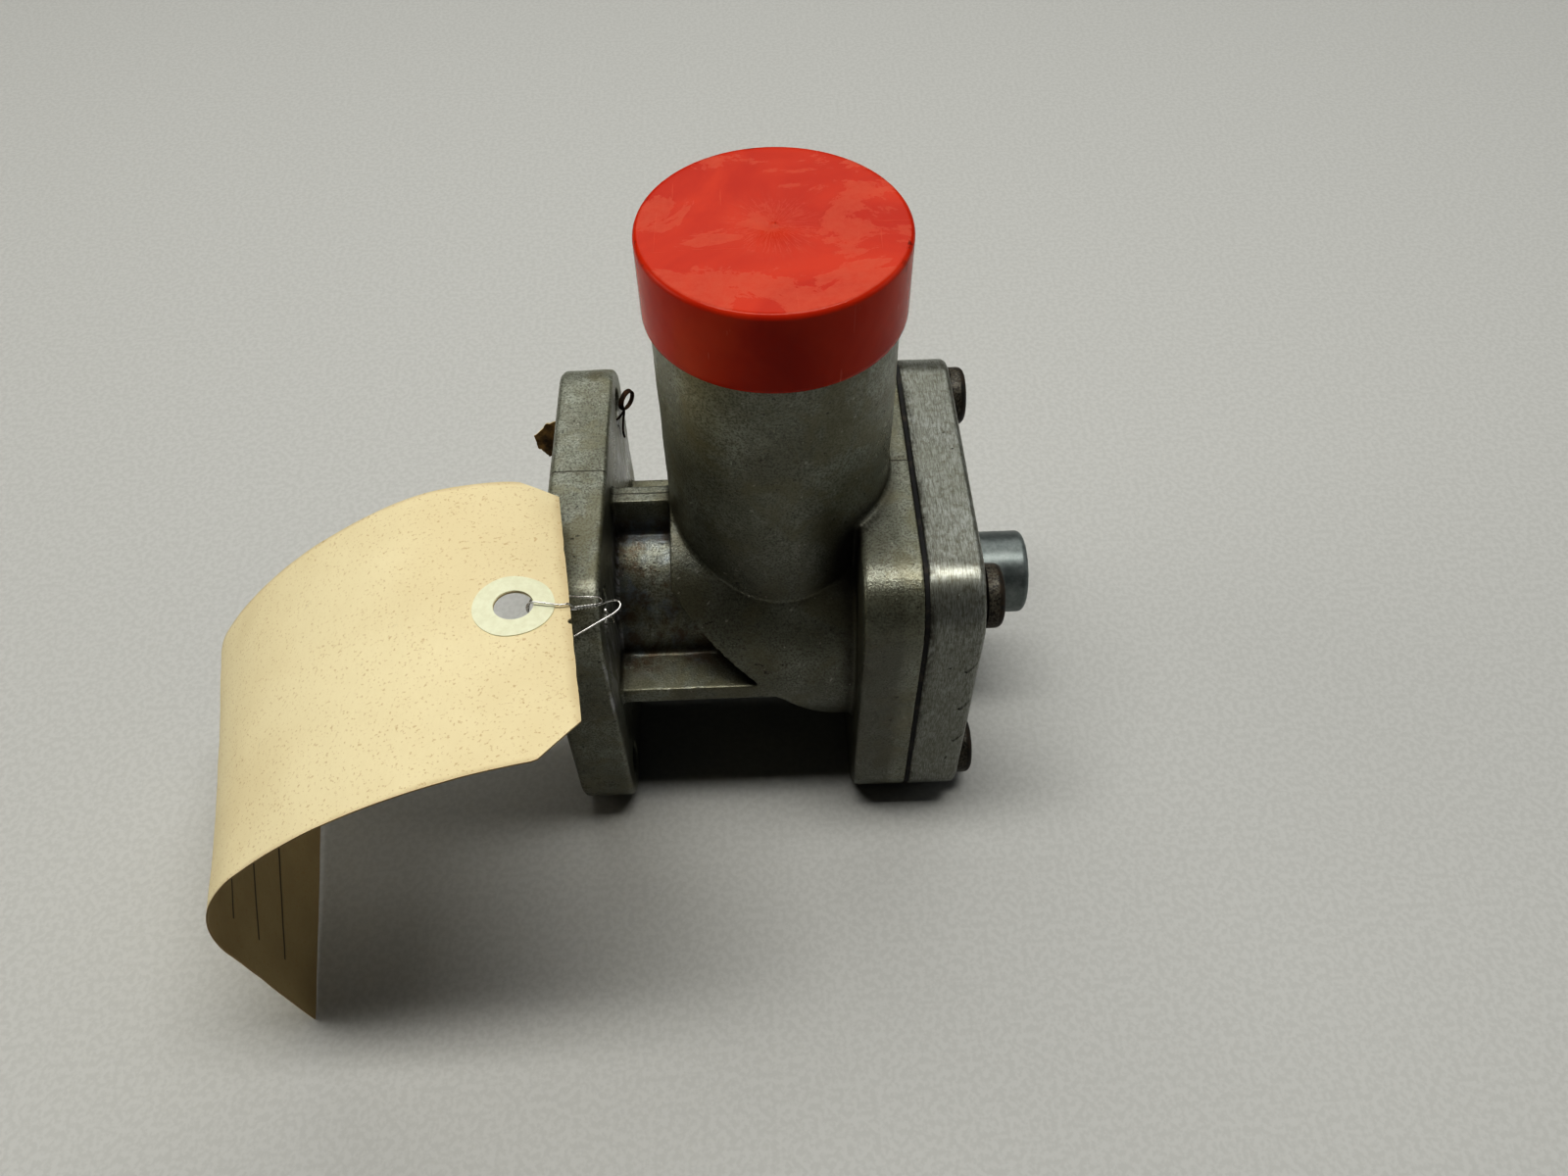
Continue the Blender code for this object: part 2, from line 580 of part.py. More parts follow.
def smooth_route(points, spacing):
    """Points a spacing apart on a smooth curve through the given points."""
    ends = [points[0] * 2 - points[1], *points, points[-1] * 2 - points[-2]]
    fine = []
    for a, b, c, d in zip(ends, ends[1:], ends[2:], ends[3:]):
        for i in range(12):
            t = i / 12
            bend = (2 * a - 5 * b + 4 * c - d) * t**2 + (3 * b - a - 3 * c + d) * t**3
            fine.append(0.5 * (2 * b + (c - a) * t + bend))
    fine.append(points[-1])
    route, travelled = [fine[0]], 0.0
    for a, b in zip(fine, fine[1:]):
        travelled += (b - a).length
        if travelled >= spacing:
            route.append(b)
            travelled = 0.0
    if (route[-1] - fine[-1]).length > spacing / 2:
        route.append(fine[-1])
    return route


def wire(name, route, radius, colour, roughness):
    """A round wire along a route, as a mesh tube with closed ends."""
    curve = bpy.data.curves.new(name + "_route", "CURVE")
    curve.dimensions = "3D"
    spline = curve.splines.new("POLY")
    spline.points.add(len(route) - 1)
    for point, place_at in zip(spline.points, route):
        point.co = (*place_at, 1)
    curve.bevel_depth = radius
    curve.bevel_resolution = 1
    curve.use_fill_caps = True
    guide = bpy.data.objects.new(name + "_guide", curve)
    TRAP.objects.link(guide)
    bpy.context.view_layer.update()
    evaluated = guide.evaluated_get(bpy.context.evaluated_depsgraph_get())
    mesh = bpy.data.meshes.new_from_object(evaluated)
    bm = bmesh.new()
    bm.from_mesh(mesh)
    bmesh.ops.remove_doubles(bm, verts=bm.verts, dist=0.00001)
    bm.to_mesh(mesh)
    bm.free()
    mesh.name = name
    bpy.data.objects.remove(guide)
    finish(place(name, mesh), colour, roughness, 1)


def from_flange(point):
    """World place of a point given in millimetres from the outlet flange's face."""
    return Vector((at(point[0] * MM), point[1] * MM, point[2] * MM))


def wires():
    """The tag's wire through the upper front bolt hole, and an old wire left in the upper rear one."""
    tag_route = smooth_route([from_flange(p) for p in TAG_WIRE], 2.2 * MM)
    wire("tag_wire", tag_route, TAG_WIRE_RADIUS, (0.7, 0.7, 0.68), 0.3)
    coil = []
    steps = 14
    for i in range(int(steps * RUSTY_TURNS) + 1):
        angle = 2 * math.pi * i / steps
        x = RUSTY_COIL[0] + RUSTY_PITCH * i / steps
        y = RUSTY_COIL[1] + RUSTY_COIL_RADIUS * math.sin(angle)
        coil.append((x, y, RUSTY_COIL[2] - RUSTY_COIL_RADIUS * math.cos(angle)))
    through = [(-2.4, 28, 66.2), (2, 29.2, 66.3), (8, 30, 66.4), (12, 30, 67.6)]
    points = [from_flange(p) for p in through + coil + RUSTY_TAIL]
    wire("rusty_wire", smooth_route(points, 1.6 * MM), RUSTY_WIRE_RADIUS, (0.06, 0.035, 0.02), 0.8)


def tag_scrap():
    """Torn remains of an older tag, hanging from the rusty wire beside the outlet face."""
    bm = bmesh.new()
    spots = [(at(x * MM), SCRAP_Y + 0.25 * (z * MM - 60 * MM), z * MM) for x, z in SCRAP_OUTLINE]
    verts = [bm.verts.new(spot) for spot in spots]
    bm.faces.new(verts)
    bmesh.ops.triangulate(bm, faces=bm.faces)
    bmesh.ops.recalc_face_normals(bm, faces=bm.faces)
    scrap = from_bmesh("tag_scrap", bm)
    solid = scrap.modifiers.new("card", "SOLIDIFY")
    solid.thickness = SCRAP_CARD
    solid.offset = 0
    finish(scrap, (0.16, 0.085, 0.04), 0.8, 0)


def main():
    global TRAP, CUTTERS
    for obj in list(bpy.data.objects):
        bpy.data.objects.remove(obj)
    TRAP = collection("steam_trap")
    CUTTERS = collection("cutters")
    trap_body()
    cover_gasket()
    cover()
    cover_screws()
    element_holder()
    valve_seat()
    seat_washer()
    valve_cone()
    valve_stem()
    bellows_plates()
    bellows()
    element_stud()
    lock_nut()
    strainer()
    protective_cap()
    tag()
    tag_patch("tag_patch_upper", 1)
    tag_patch("tag_patch_lower", -1)
    wires()
    tag_scrap()


main()
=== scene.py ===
"""Looks of the steam trap: a cast body with a machined cover, a red cap, a stock tag and two wires.

Everything is in metres, in the model's own frame. Places along the neck are given as distances from the
outlet flange's face, as in the CAD.
"""
import math
import random

import bmesh
import bpy
from mathutils import Matrix, Vector, noise


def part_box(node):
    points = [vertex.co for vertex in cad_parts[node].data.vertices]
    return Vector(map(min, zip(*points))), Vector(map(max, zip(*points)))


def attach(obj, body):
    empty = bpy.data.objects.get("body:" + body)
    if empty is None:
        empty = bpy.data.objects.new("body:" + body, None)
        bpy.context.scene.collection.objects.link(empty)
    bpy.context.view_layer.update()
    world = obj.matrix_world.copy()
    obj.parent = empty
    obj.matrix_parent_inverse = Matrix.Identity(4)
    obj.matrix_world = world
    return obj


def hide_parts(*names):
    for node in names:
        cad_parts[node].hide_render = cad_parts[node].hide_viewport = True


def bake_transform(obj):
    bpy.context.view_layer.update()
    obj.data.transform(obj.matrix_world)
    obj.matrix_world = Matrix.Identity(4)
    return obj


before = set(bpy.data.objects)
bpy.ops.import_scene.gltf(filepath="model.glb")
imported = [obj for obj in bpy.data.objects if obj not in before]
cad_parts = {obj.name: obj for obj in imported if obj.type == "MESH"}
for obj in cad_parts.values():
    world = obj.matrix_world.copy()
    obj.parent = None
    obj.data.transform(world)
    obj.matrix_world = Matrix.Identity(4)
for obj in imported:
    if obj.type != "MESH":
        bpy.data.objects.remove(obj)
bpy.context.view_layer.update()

MM = 0.001
AXIS_Z = 40 * MM
OUTLET_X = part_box("trap_body")[0][0]
SPIGOT_AT = 49.1 * MM
BOLT_OFFSET = 30 * MM
FLANGE_SIDE = 80 * MM
FLANGE_END, COVER_START, COVER_END = 77.4 * MM, 78.3 * MM, 89.9 * MM
HOLDER_END = 107.6 * MM
TAG_LENGTH, TAG_WIDTH = 146 * MM, 73 * MM
CARD = 0.32 * MM


def at(distance):
    """World x of a place that far from the outlet flange's face."""
    return OUTLET_X + distance


# ---------------------------------------------------------------- materials


class Paint:
    """A Principled material, with short calls for its nodes. Positions are in metres in the model's frame."""

    def __init__(self, name, metallic=0.0, roughness=0.5):
        self.material = bpy.data.materials.new(name)
        self.material.use_nodes = True
        self.tree = self.material.node_tree
        self.shader = self.tree.nodes["Principled BSDF"]
        self.shader.inputs["Metallic"].default_value = metallic
        self.shader.inputs["Roughness"].default_value = roughness
        self.coords = self.tree.nodes.new("ShaderNodeTexCoord")
        self.height = None

    def put(self, socket, value):
        if isinstance(value, bpy.types.NodeSocket):
            self.tree.links.new(value, socket)
        elif isinstance(value, (tuple, list)) and len(value) == 3 and socket.type == "RGBA":
            socket.default_value = (*value, 1)
        else:
            socket.default_value = value

    def add(self, kind, inputs=(), **settings):
        node = self.tree.nodes.new(kind)
        for key, value in settings.items():
            setattr(node, key, value)
        for key, value in dict(inputs).items():
            self.put(node.inputs[key], value)
        return node

    def where(self, stretch=(1, 1, 1), shift=(0, 0, 0)):
        node = self.add("ShaderNodeMapping", {"Vector": self.coords.outputs["Object"]})
        node.inputs["Scale"].default_value = stretch
        node.inputs["Location"].default_value = shift
        return node.outputs["Vector"]

    def noise(self, scale, detail=3.0, rough=0.55, distortion=0.0, stretch=(1, 1, 1), shift=(0, 0, 0)):
        inputs = {"Vector": self.where(stretch, shift), "Scale": scale, "Detail": detail, "Roughness": rough}
        inputs["Distortion"] = distortion
        return self.add("ShaderNodeTexNoise", inputs).outputs["Fac"]

    def axis(self, index, source="Object"):
        split = self.add("ShaderNodeSeparateXYZ")
        self.put(split.inputs[0], self.coords.outputs[source])
        return split.outputs[index]

    def normal(self, index):
        split = self.add("ShaderNodeSeparateXYZ")
        self.put(split.inputs[0], self.coords.outputs["Normal"])
        return split.outputs[index]

    def calc(self, operation, a, b=0.0, clamp=False):
        node = self.add("ShaderNodeMath", operation=operation, use_clamp=clamp)
        self.put(node.inputs[0], a)
        self.put(node.inputs[1], b)
        return node.outputs[0]

    def fade(self, value, low, high, to_low=0.0, to_high=1.0):
        """A clamped, smooth change from to_low, where value is low, to to_high."""
        inputs = {"Value": value, "From Min": low, "From Max": high, "To Min": to_low, "To Max": to_high}
        return self.add("ShaderNodeMapRange", inputs, interpolation_type="SMOOTHSTEP").outputs[0]

    def near(self, value, middle, width, soft):
        """1 where value is within width of middle, falling to 0 over soft."""
        off = self.calc("ABSOLUTE", self.calc("SUBTRACT", value, middle))
        return self.fade(off, width, width + soft, 1.0, 0.0)

    def both(self, a, b):
        return self.calc("MULTIPLY", a, b, clamp=True)

    def mix(self, amount, a, b):
        node = self.add("ShaderNodeMix", data_type="RGBA")
        self.put(node.inputs[0], amount)
        self.put(node.inputs[6], a)
        self.put(node.inputs[7], b)
        return node.outputs[2]

    def crevice(self, distance, samples=8):
        """How shut in the surface is, from 0 in the open to 1."""
        node = self.add("ShaderNodeAmbientOcclusion", {"Distance": distance}, samples=samples)
        return self.calc("SUBTRACT", 1.0, node.outputs["AO"])

    def colour(self, value):
        self.put(self.shader.inputs["Base Color"], value)
        return self

    def rough(self, value):
        self.put(self.shader.inputs["Roughness"], value)
        return self

    def bump(self, height, distance, strength=1.0):
        node = self.add("ShaderNodeBump", {"Height": height, "Distance": distance, "Strength": strength})
        if self.height is not None:
            self.put(node.inputs["Normal"], self.height)
        self.height = node.outputs["Normal"]
        self.put(self.shader.inputs["Normal"], self.height)
        return self


BARE = (0.4, 0.42, 0.36)
DULL = (0.21, 0.217, 0.165)
OLIVE = (0.19, 0.175, 0.1)
# Dark brown: real grime, and also painted shade in crevices.
GRIME_AND_SHADE = (0.016, 0.011, 0.005)
RUST = (0.11, 0.07, 0.03)
BLUE_GREY = (0.2, 0.23, 0.25)


def cast_aluminium():
    """Sand-blasted casting gone dull: mottle, olive stains, brown grime in its corners and on the neck, with
    painted shade in its corners, recesses and at the spigot's foot.
    """
    paint = Paint("cast_aluminium", metallic=0.42)
    broad = paint.fade(paint.noise(48, 4, 0.6), 0.35, 0.68)
    fine = paint.noise(2100, 3, 0.7)
    mottle = paint.noise(420, 6, 0.8)
    colour = paint.mix(broad, DULL, BARE)
    colour = paint.mix(paint.fade(mottle, 0.36, 0.62, 0.0, 0.6), colour, DULL)
    colour = paint.mix(paint.fade(fine, 0.44, 0.62, 0.0, 0.7), colour, (0.075, 0.07, 0.048))
    stains = paint.both(paint.fade(paint.noise(85, 5, 0.65, 0.5, shift=(3, 3, 1)), 0.46, 0.62), 0.55)
    colour = paint.mix(stains, colour, OLIVE)
    x, y, z = (paint.axis(i) for i in range(3))
    up = paint.calc("SUBTRACT", z, AXIS_Z)
    squares = paint.calc("ADD", paint.calc("MULTIPLY", y, y), paint.calc("MULTIPLY", up, up))
    off_axis = paint.calc("SQRT", squares)
    close_in = paint.fade(off_axis, 24 * MM, 30 * MM, 1.0, 0.0)
    on_neck = paint.both(paint.near(x, at(25 * MM), 11 * MM, 4 * MM), close_in)
    patches = paint.fade(paint.noise(95, 5, 0.6, 0.4), 0.42, 0.6)
    colour = paint.mix(paint.both(on_neck, patches), colour, BLUE_GREY)
    blotch = paint.fade(paint.noise(140, 6, 0.75, 0.3, shift=(2, 4, 6)), 0.44, 0.62)
    stain = paint.both(blotch, paint.calc("ADD", paint.calc("MULTIPLY", on_neck, 0.75), 0.12))
    colour = paint.mix(stain, colour, RUST)
    ragged = paint.fade(paint.noise(330, 6, 0.75, 0.4), 0.32, 0.62, 0.55, 1.0)
    uneven = paint.fade(paint.noise(90, 5, 0.7), 0.3, 0.52)
    # Painted shade: a broad dark film over recesses, from the 14 mm occlusion, stronger towards the cover.
    recess_shade = paint.both(paint.fade(paint.crevice(14 * MM), 0.26, 0.72), uneven)
    recess_shade = paint.both(recess_shade, paint.fade(x, at(40 * MM), at(56 * MM), 0.2, 0.85))
    colour = paint.mix(recess_shade, colour, (0.04, 0.029, 0.012))
    # Grime and painted shade: dark brown in crevices and creases, ragged.
    grime_and_shade = paint.both(paint.fade(paint.crevice(4 * MM), 0.14, 0.5), ragged)
    grime_and_shade = paint.calc("MAXIMUM", grime_and_shade, paint.fade(paint.crevice(1.6 * MM), 0.12, 0.32, 0.0, 0.95))
    # Painted shade: the pocket between spigot, chamber and cover flange is darkened.
    by_cover = paint.near(x, at(62 * MM), 7 * MM, 4 * MM)
    pocket_shade = paint.both(by_cover, paint.fade(paint.crevice(9 * MM), 0.2, 0.5))
    grime_and_shade = paint.calc("MAXIMUM", grime_and_shade, paint.both(pocket_shade, ragged))
    colour = paint.mix(grime_and_shade, colour, GRIME_AND_SHADE)
    # Painted shade: the spigot darkens towards its foot.
    on_spigot = paint.near(x, at(SPIGOT_AT), 23 * MM, 3 * MM)
    spigot_foot_shade = paint.both(paint.fade(z, 58 * MM, 96 * MM, 0.5, 0.0), on_spigot)
    spigot_foot_shade = paint.both(spigot_foot_shade, paint.fade(off_axis, 30 * MM, 34 * MM))
    colour = paint.mix(spigot_foot_shade, colour, (0.05, 0.045, 0.03))
    specks = paint.fade(paint.noise(800, 2, 0.5, shift=(3, 1, 2)), 0.7, 0.75)
    colour = paint.mix(paint.calc("MULTIPLY", specks, 0.4), colour, (0.6, 0.58, 0.5))
    inner_face = paint.near(x, at(12.3 * MM), 0.6 * MM, 0.4 * MM)
    behind_rim = paint.both(inner_face, paint.near(z, 56 * MM, 8 * MM, 6 * MM))
    chalk = paint.both(paint.fade(paint.noise(1, 5, 0.7, 0.5, stretch=(400, 700, 90)), 0.42, 0.6), behind_rim)
    colour = paint.mix(paint.calc("MULTIPLY", chalk, 0.6), colour, (0.62, 0.62, 0.66))
    pits = paint.fade(paint.noise(620, 3, 0.6, shift=(7, 5, 1)), 0.66, 0.73)
    colour = paint.mix(paint.calc("MULTIPLY", pits, 0.8), colour, GRIME_AND_SHADE)
    seam = paint.near(y, 0.0, 0.1 * MM, 0.18 * MM)
    colour = paint.mix(paint.calc("MULTIPLY", seam, 0.6), colour, GRIME_AND_SHADE)
    paint.colour(colour)
    worn = paint.calc("ADD", paint.calc("MULTIPLY", mottle, 0.5), paint.noise(45, 3))
    gloss = paint.fade(worn, 0.5, 1.0, 0.24, 0.42)
    paint.rough(paint.calc("ADD", gloss, paint.calc("MULTIPLY", grime_and_shade, 0.35)))
    paint.shader.inputs["Specular IOR Level"].default_value = 0.7
    paint.bump(seam, 0.12 * MM, 0.7)
    paint.bump(paint.noise(300, 4, 0.6), 0.2 * MM, paint.fade(on_neck, 0.0, 1.0, 0.3, 0.9))
    return paint.bump(fine, 0.1 * MM, 0.8)


def machined_aluminium():
    """Milled cover: short fine lines round its edges and across its face, stained, with dark nicks, gasket
    ooze and painted shade in its crevices.
    """
    paint = Paint("machined_aluminium", metallic=0.6)
    rim_lines = paint.noise(1, 5, 0.8, stretch=(4200, 420, 420))
    face_lines = paint.noise(1, 5, 0.8, stretch=(300, 420, 4200))
    faces = paint.fade(paint.calc("ABSOLUTE", paint.normal(0)), 0.6, 0.8)
    lines = paint.mix(faces, rim_lines, face_lines)
    cloud = paint.noise(60, 4, 0.6)
    grain = paint.noise(700, 4, 0.7)
    colour = paint.mix(paint.fade(cloud, 0.35, 0.65), (0.26, 0.268, 0.235), (0.35, 0.362, 0.335))
    colour = paint.mix(paint.fade(lines, 0.42, 0.6, 0.0, 0.75), colour, (0.11, 0.107, 0.08))
    colour = paint.mix(paint.fade(grain, 0.48, 0.66, 0.0, 0.55), colour, (0.12, 0.11, 0.075))
    ragged = paint.fade(paint.noise(330, 6, 0.75, 0.4), 0.34, 0.62, 0.5, 1.0)
    # Painted shade in crevices; the gasket ooze added below is real dirt.
    grime_and_shade = paint.both(paint.fade(paint.crevice(4.5 * MM), 0.3, 0.7), ragged)
    near_gasket = paint.fade(paint.axis(0), at(COVER_START), at(COVER_START + 2.2 * MM), 0.8, 0.0)
    ooze = paint.both(near_gasket, paint.fade(paint.noise(170, 6, 0.8, 0.6, stretch=(1, 1, 0.6)), 0.4, 0.66))
    grime_and_shade = paint.calc("MAXIMUM", grime_and_shade, ooze)
    colour = paint.mix(grime_and_shade, colour, GRIME_AND_SHADE)
    nicks = paint.fade(paint.noise(1, 3, 0.6, stretch=(420, 420, 260), shift=(5, 3, 8)), 0.69, 0.73)
    colour = paint.mix(paint.calc("MULTIPLY", nicks, 0.85), colour, GRIME_AND_SHADE)
    paint.colour(colour)
    gloss = paint.fade(paint.calc("ADD", cloud, paint.calc("MULTIPLY", lines, 0.5)), 0.45, 1.05, 0.27, 0.42)
    paint.rough(paint.calc("ADD", gloss, paint.calc("MULTIPLY", grime_and_shade, 0.35)))
    paint.bump(nicks, -0.15 * MM, 0.6)
    return paint.bump(lines, 0.05 * MM, 0.5)


def turned_metal():
    """Smooth turned boss, bluish, with faint rings and painted shade in its crevices."""
    paint = Paint("turned_metal", metallic=0.6)
    rings = paint.noise(1, 3, 0.6, stretch=(2400, 10, 10))
    cloud = paint.noise(330, 6, 0.75)
    colour = paint.mix(paint.fade(cloud, 0.35, 0.7), (0.16, 0.182, 0.178), (0.26, 0.285, 0.275))
    # Painted shade: darker in crevices.
    colour = paint.mix(paint.fade(paint.crevice(4 * MM), 0.35, 0.9), colour, GRIME_AND_SHADE)
    paint.colour(colour).rough(paint.fade(cloud, 0.3, 0.7, 0.36, 0.46))
    return paint.bump(rings, 0.03 * MM, 0.4)


def black_steel():
    """Blackened screw, brown with dirt and rust, with a painted highlight on the heads' round sides and
    painted shade in its recesses.
    """
    paint = Paint("black_steel", metallic=0.3)
    blotch = paint.noise(420, 4, 0.65)
    grain = paint.noise(1800, 3, 0.6)
    # Painted highlight: lighter grain all round the heads' round sides.
    outside = paint.fade(paint.calc("ABSOLUTE", paint.normal(0)), 0.05, 0.3, 1.0, 0.0)
    colour = paint.mix(paint.fade(blotch, 0.4, 0.65), (0.018, 0.016, 0.013), (0.05, 0.034, 0.02))
    colour = paint.mix(paint.both(outside, paint.fade(grain, 0.35, 0.65)), colour, (0.12, 0.11, 0.085))
    # Painted shade in the recesses.
    colour = paint.mix(paint.fade(paint.crevice(2 * MM), 0.4, 0.9), colour, (0.015, 0.012, 0.01))
    paint.colour(colour).rough(paint.fade(blotch, 0.3, 0.7, 0.38, 0.66))
    return paint.bump(grain, 0.06 * MM, 0.5)


def rubber():
    paint = Paint("black_rubber", roughness=0.7)
    dust = paint.fade(paint.noise(260, 4, 0.6), 0.5, 0.75)
    paint.colour(paint.mix(dust, (0.012, 0.012, 0.012), (0.075, 0.06, 0.04)))
    return paint.bump(paint.noise(1500), 0.05 * MM, 0.4)


def red_plastic():
    """Moulded cap with hazy patches on its top, partly rubbed and partly a painted reflection, flow marks,
    hair scratches and dark scuffs on its rim.
    """
    paint = Paint("red_plastic", roughness=0.3)
    paint.shader.inputs["Specular IOR Level"].default_value = 0.18
    cloud = paint.noise(38, 4, 0.6, 0.8)
    colour = paint.mix(paint.fade(cloud, 0.35, 0.65), (0.47, 0.026, 0.006), (0.56, 0.045, 0.012))
    on_top = paint.fade(paint.normal(2), 0.85, 0.98)
    x = paint.calc("SUBTRACT", paint.axis(0), at(SPIGOT_AT))
    y = paint.axis(1)
    reach = paint.calc("SQRT", paint.calc("ADD", paint.calc("MULTIPLY", x, x), paint.calc("MULTIPLY", y, y)))
    turn = paint.calc("ARCTAN2", y, x)
    spread = {0: paint.calc("MULTIPLY", turn, 5.5), 1: paint.calc("MULTIPLY", reach, 90)}
    fan = paint.add("ShaderNodeCombineXYZ", spread).outputs[0]
    inputs = {"Vector": fan, "Scale": 3.2, "Detail": 6, "Roughness": 0.72}
    flow = paint.add("ShaderNodeTexNoise", inputs)
    flow = paint.fade(flow.outputs["Fac"], 0.44, 0.62)
    # Hazy patches on the top: rubbed plastic, and a painted reflection leaning to the right and front.
    broad = paint.noise(1, 6, 0.62, 0.5, stretch=(46, 62, 50), shift=(0.35, 0.2, 0))
    to_right = paint.fade(x, 0.0, 12 * MM, 0.0, 0.075)
    leaning = paint.calc("ADD", to_right, paint.fade(y, -16 * MM, -6 * MM, 0.06, 0.0))
    rubbed_and_reflecting = paint.fade(paint.calc("ADD", broad, leaning), 0.53, 0.57)
    middle = paint.fade(reach, 2 * MM, 13 * MM, 0.9, 0.0)
    haze_and_reflection = paint.calc("MAXIMUM", paint.calc("MULTIPLY", rubbed_and_reflecting, 0.85), paint.both(middle, flow))
    haze_and_reflection = paint.both(paint.both(haze_and_reflection, on_top), paint.fade(paint.noise(700, 5, 0.8), 0.3, 0.62, 0.45, 1.0))
    colour = paint.mix(paint.calc("MULTIPLY", haze_and_reflection, 0.55), colour, (0.6, 0.15, 0.09))
    hairs = paint.noise(1, 2, 0.5, 0.4, stretch=(1500, 60, 60), shift=(1, 2, 3))
    others = paint.noise(1, 2, 0.5, 0.4, stretch=(90, 1300, 90))
    marks = paint.calc("MAXIMUM", paint.fade(hairs, 0.72, 0.78), paint.fade(others, 0.72, 0.78))
    colour = paint.mix(paint.calc("MULTIPLY", marks, 0.14), colour, (0.85, 0.32, 0.2))
    rounded = paint.fade(paint.normal(2), 0.97, 0.995, 1.0, 0.0)
    rim = paint.both(rounded, paint.near(paint.axis(2), 139.6 * MM, 1.3 * MM, MM))
    behind = paint.fade(y, -15 * MM, -5 * MM)
    scuffs = paint.fade(paint.noise(300, 5, 0.7, shift=(5, 2, 2)), 0.56, 0.64)
    scuffs = paint.both(paint.both(scuffs, rim), behind)
    colour = paint.mix(paint.calc("MULTIPLY", scuffs, 0.75), colour, (0.07, 0.012, 0.006))
    paint.colour(colour)
    paint.rough(paint.fade(paint.calc("MAXIMUM", haze_and_reflection, marks), 0.0, 1.0, 0.24, 0.42))
    paint.bump(marks, -0.02 * MM, 0.4)
    paint.bump(scuffs, -0.1 * MM, 0.5)
    return paint.bump(paint.noise(160, 3), 0.1 * MM, 0.12)


def card(name, light, dark, ruled=False, edge=(0.45, 0.33, 0.18)):
    """Manila card with fibres, specks and smudges; the inner side carries ruled lines."""
    paint = Paint(name, roughness=0.78)
    paint.shader.inputs["Specular IOR Level"].default_value = 0.3
    cloud = paint.noise(30, 4, 0.6)
    fibre = paint.noise(1, 3, 0.65, 0.5, stretch=(1300, 500, 1300))
    colour = paint.mix(paint.fade(cloud, 0.35, 0.7), light, dark)
    colour = paint.mix(paint.fade(fibre, 0.35, 0.7, 0.0, 0.22), colour, dark)
    specks = paint.fade(paint.noise(1500, 3, 0.6, shift=(2, 6, 1)), 0.58, 0.68)
    colour = paint.mix(paint.calc("MULTIPLY", specks, 0.5), colour, (0.45, 0.29, 0.13))
    smudge = paint.fade(paint.noise(75, 5, 0.7, 1.5, shift=(4, 0, 3)), 0.66, 0.76)
    colour = paint.mix(paint.calc("MULTIPLY", smudge, 0.3), colour, (0.28, 0.22, 0.14))
    along, across = paint.axis(0, "UV"), paint.axis(1, "UV")
    sides = paint.calc("ABSOLUTE", paint.calc("SUBTRACT", across, 0.5))
    ends = paint.calc("ABSOLUTE", paint.calc("SUBTRACT", along, 0.5))
    ragged = paint.calc("MULTIPLY", paint.calc("SUBTRACT", paint.noise(140, 4, 0.6), 0.5), 0.02)
    near_edge = paint.fade(paint.calc("ADD", paint.calc("MAXIMUM", sides, ends), ragged), 0.484, 0.502)
    colour = paint.mix(paint.calc("MULTIPLY", near_edge, 0.4), colour, edge)
    if ruled:
        rules = None
        for place, low, high in RULES:
            reach = paint.near(across, (low + high) / 2, (high - low) / 2, 0.004)
            line = paint.both(paint.near(along, place, 0.0016, 0.0012), reach)
            rules = line if rules is None else paint.calc("MAXIMUM", rules, line)
        colour = paint.mix(paint.calc("MULTIPLY", rules, 0.85), colour, (0.07, 0.06, 0.045))
    paint.colour(colour)
    paint.bump(paint.noise(420, 3, 0.6), 0.05 * MM, 0.35)
    return paint.bump(fibre, 0.03 * MM, 0.4)


RULES = [(0.66, 0.12, 0.88), (0.74, 0.12, 0.88), (0.82, 0.12, 0.55), (0.90, 0.12, 0.88)]


def patch_paper():
    paint = Paint("patch_paper", roughness=0.7)
    fibre = paint.noise(700, 4, 0.6)
    colour = paint.mix(paint.fade(fibre, 0.3, 0.7), (0.72, 0.72, 0.53), (0.78, 0.79, 0.6))
    # Painted shade: darker in the crevices at the patch's edges.
    edge_shade = paint.fade(paint.crevice(1.2 * MM), 0.25, 0.8)
    colour = paint.mix(paint.calc("MULTIPLY", edge_shade, 0.5), colour, (0.3, 0.24, 0.15))
    paint.colour(colour)
    return paint.bump(fibre, 0.04 * MM, 0.3)


def bright_wire():
    paint = Paint("bright_wire", metallic=1.0)
    patchy = paint.noise(500, 3)
    paint.colour(paint.mix(paint.fade(patchy, 0.3, 0.7), (0.5, 0.49, 0.46), (0.8, 0.79, 0.77)))
    return paint.rough(paint.fade(patchy, 0.3, 0.7, 0.2, 0.4))


def rusty_metal():
    paint = Paint("rusty_metal", metallic=0.5)
    patchy = paint.noise(900, 4, 0.7)
    paint.colour(paint.mix(paint.fade(patchy, 0.35, 0.65), (0.02, 0.015, 0.012), (0.11, 0.055, 0.026)))
    paint.rough(0.8)
    return paint.bump(patchy, 0.08 * MM, 0.6)


def old_card(name, low, high):
    paint = Paint(name, roughness=0.85)
    patchy = paint.noise(420, 5, 0.7)
    colour = paint.mix(paint.fade(patchy, 0.35, 0.65), low, high)
    paint.colour(paint.mix(paint.fade(paint.noise(150, 3), 0.55, 0.7), colour, (0.03, 0.02, 0.012)))
    return paint.bump(patchy, 0.1 * MM, 0.6)


def plain_metal(name, low, high, roughness=0.25):
    """Clean machined metal for the pieces inside, with fine turning marks."""
    paint = Paint(name, metallic=1.0)
    marks = paint.noise(1, 3, 0.6, stretch=(1800, 30, 30))
    paint.colour(paint.mix(paint.fade(marks, 0.3, 0.7), low, high))
    paint.rough(paint.fade(marks, 0.2, 0.8, roughness, roughness + 0.12))
    return paint.bump(marks, 0.02 * MM, 0.3)


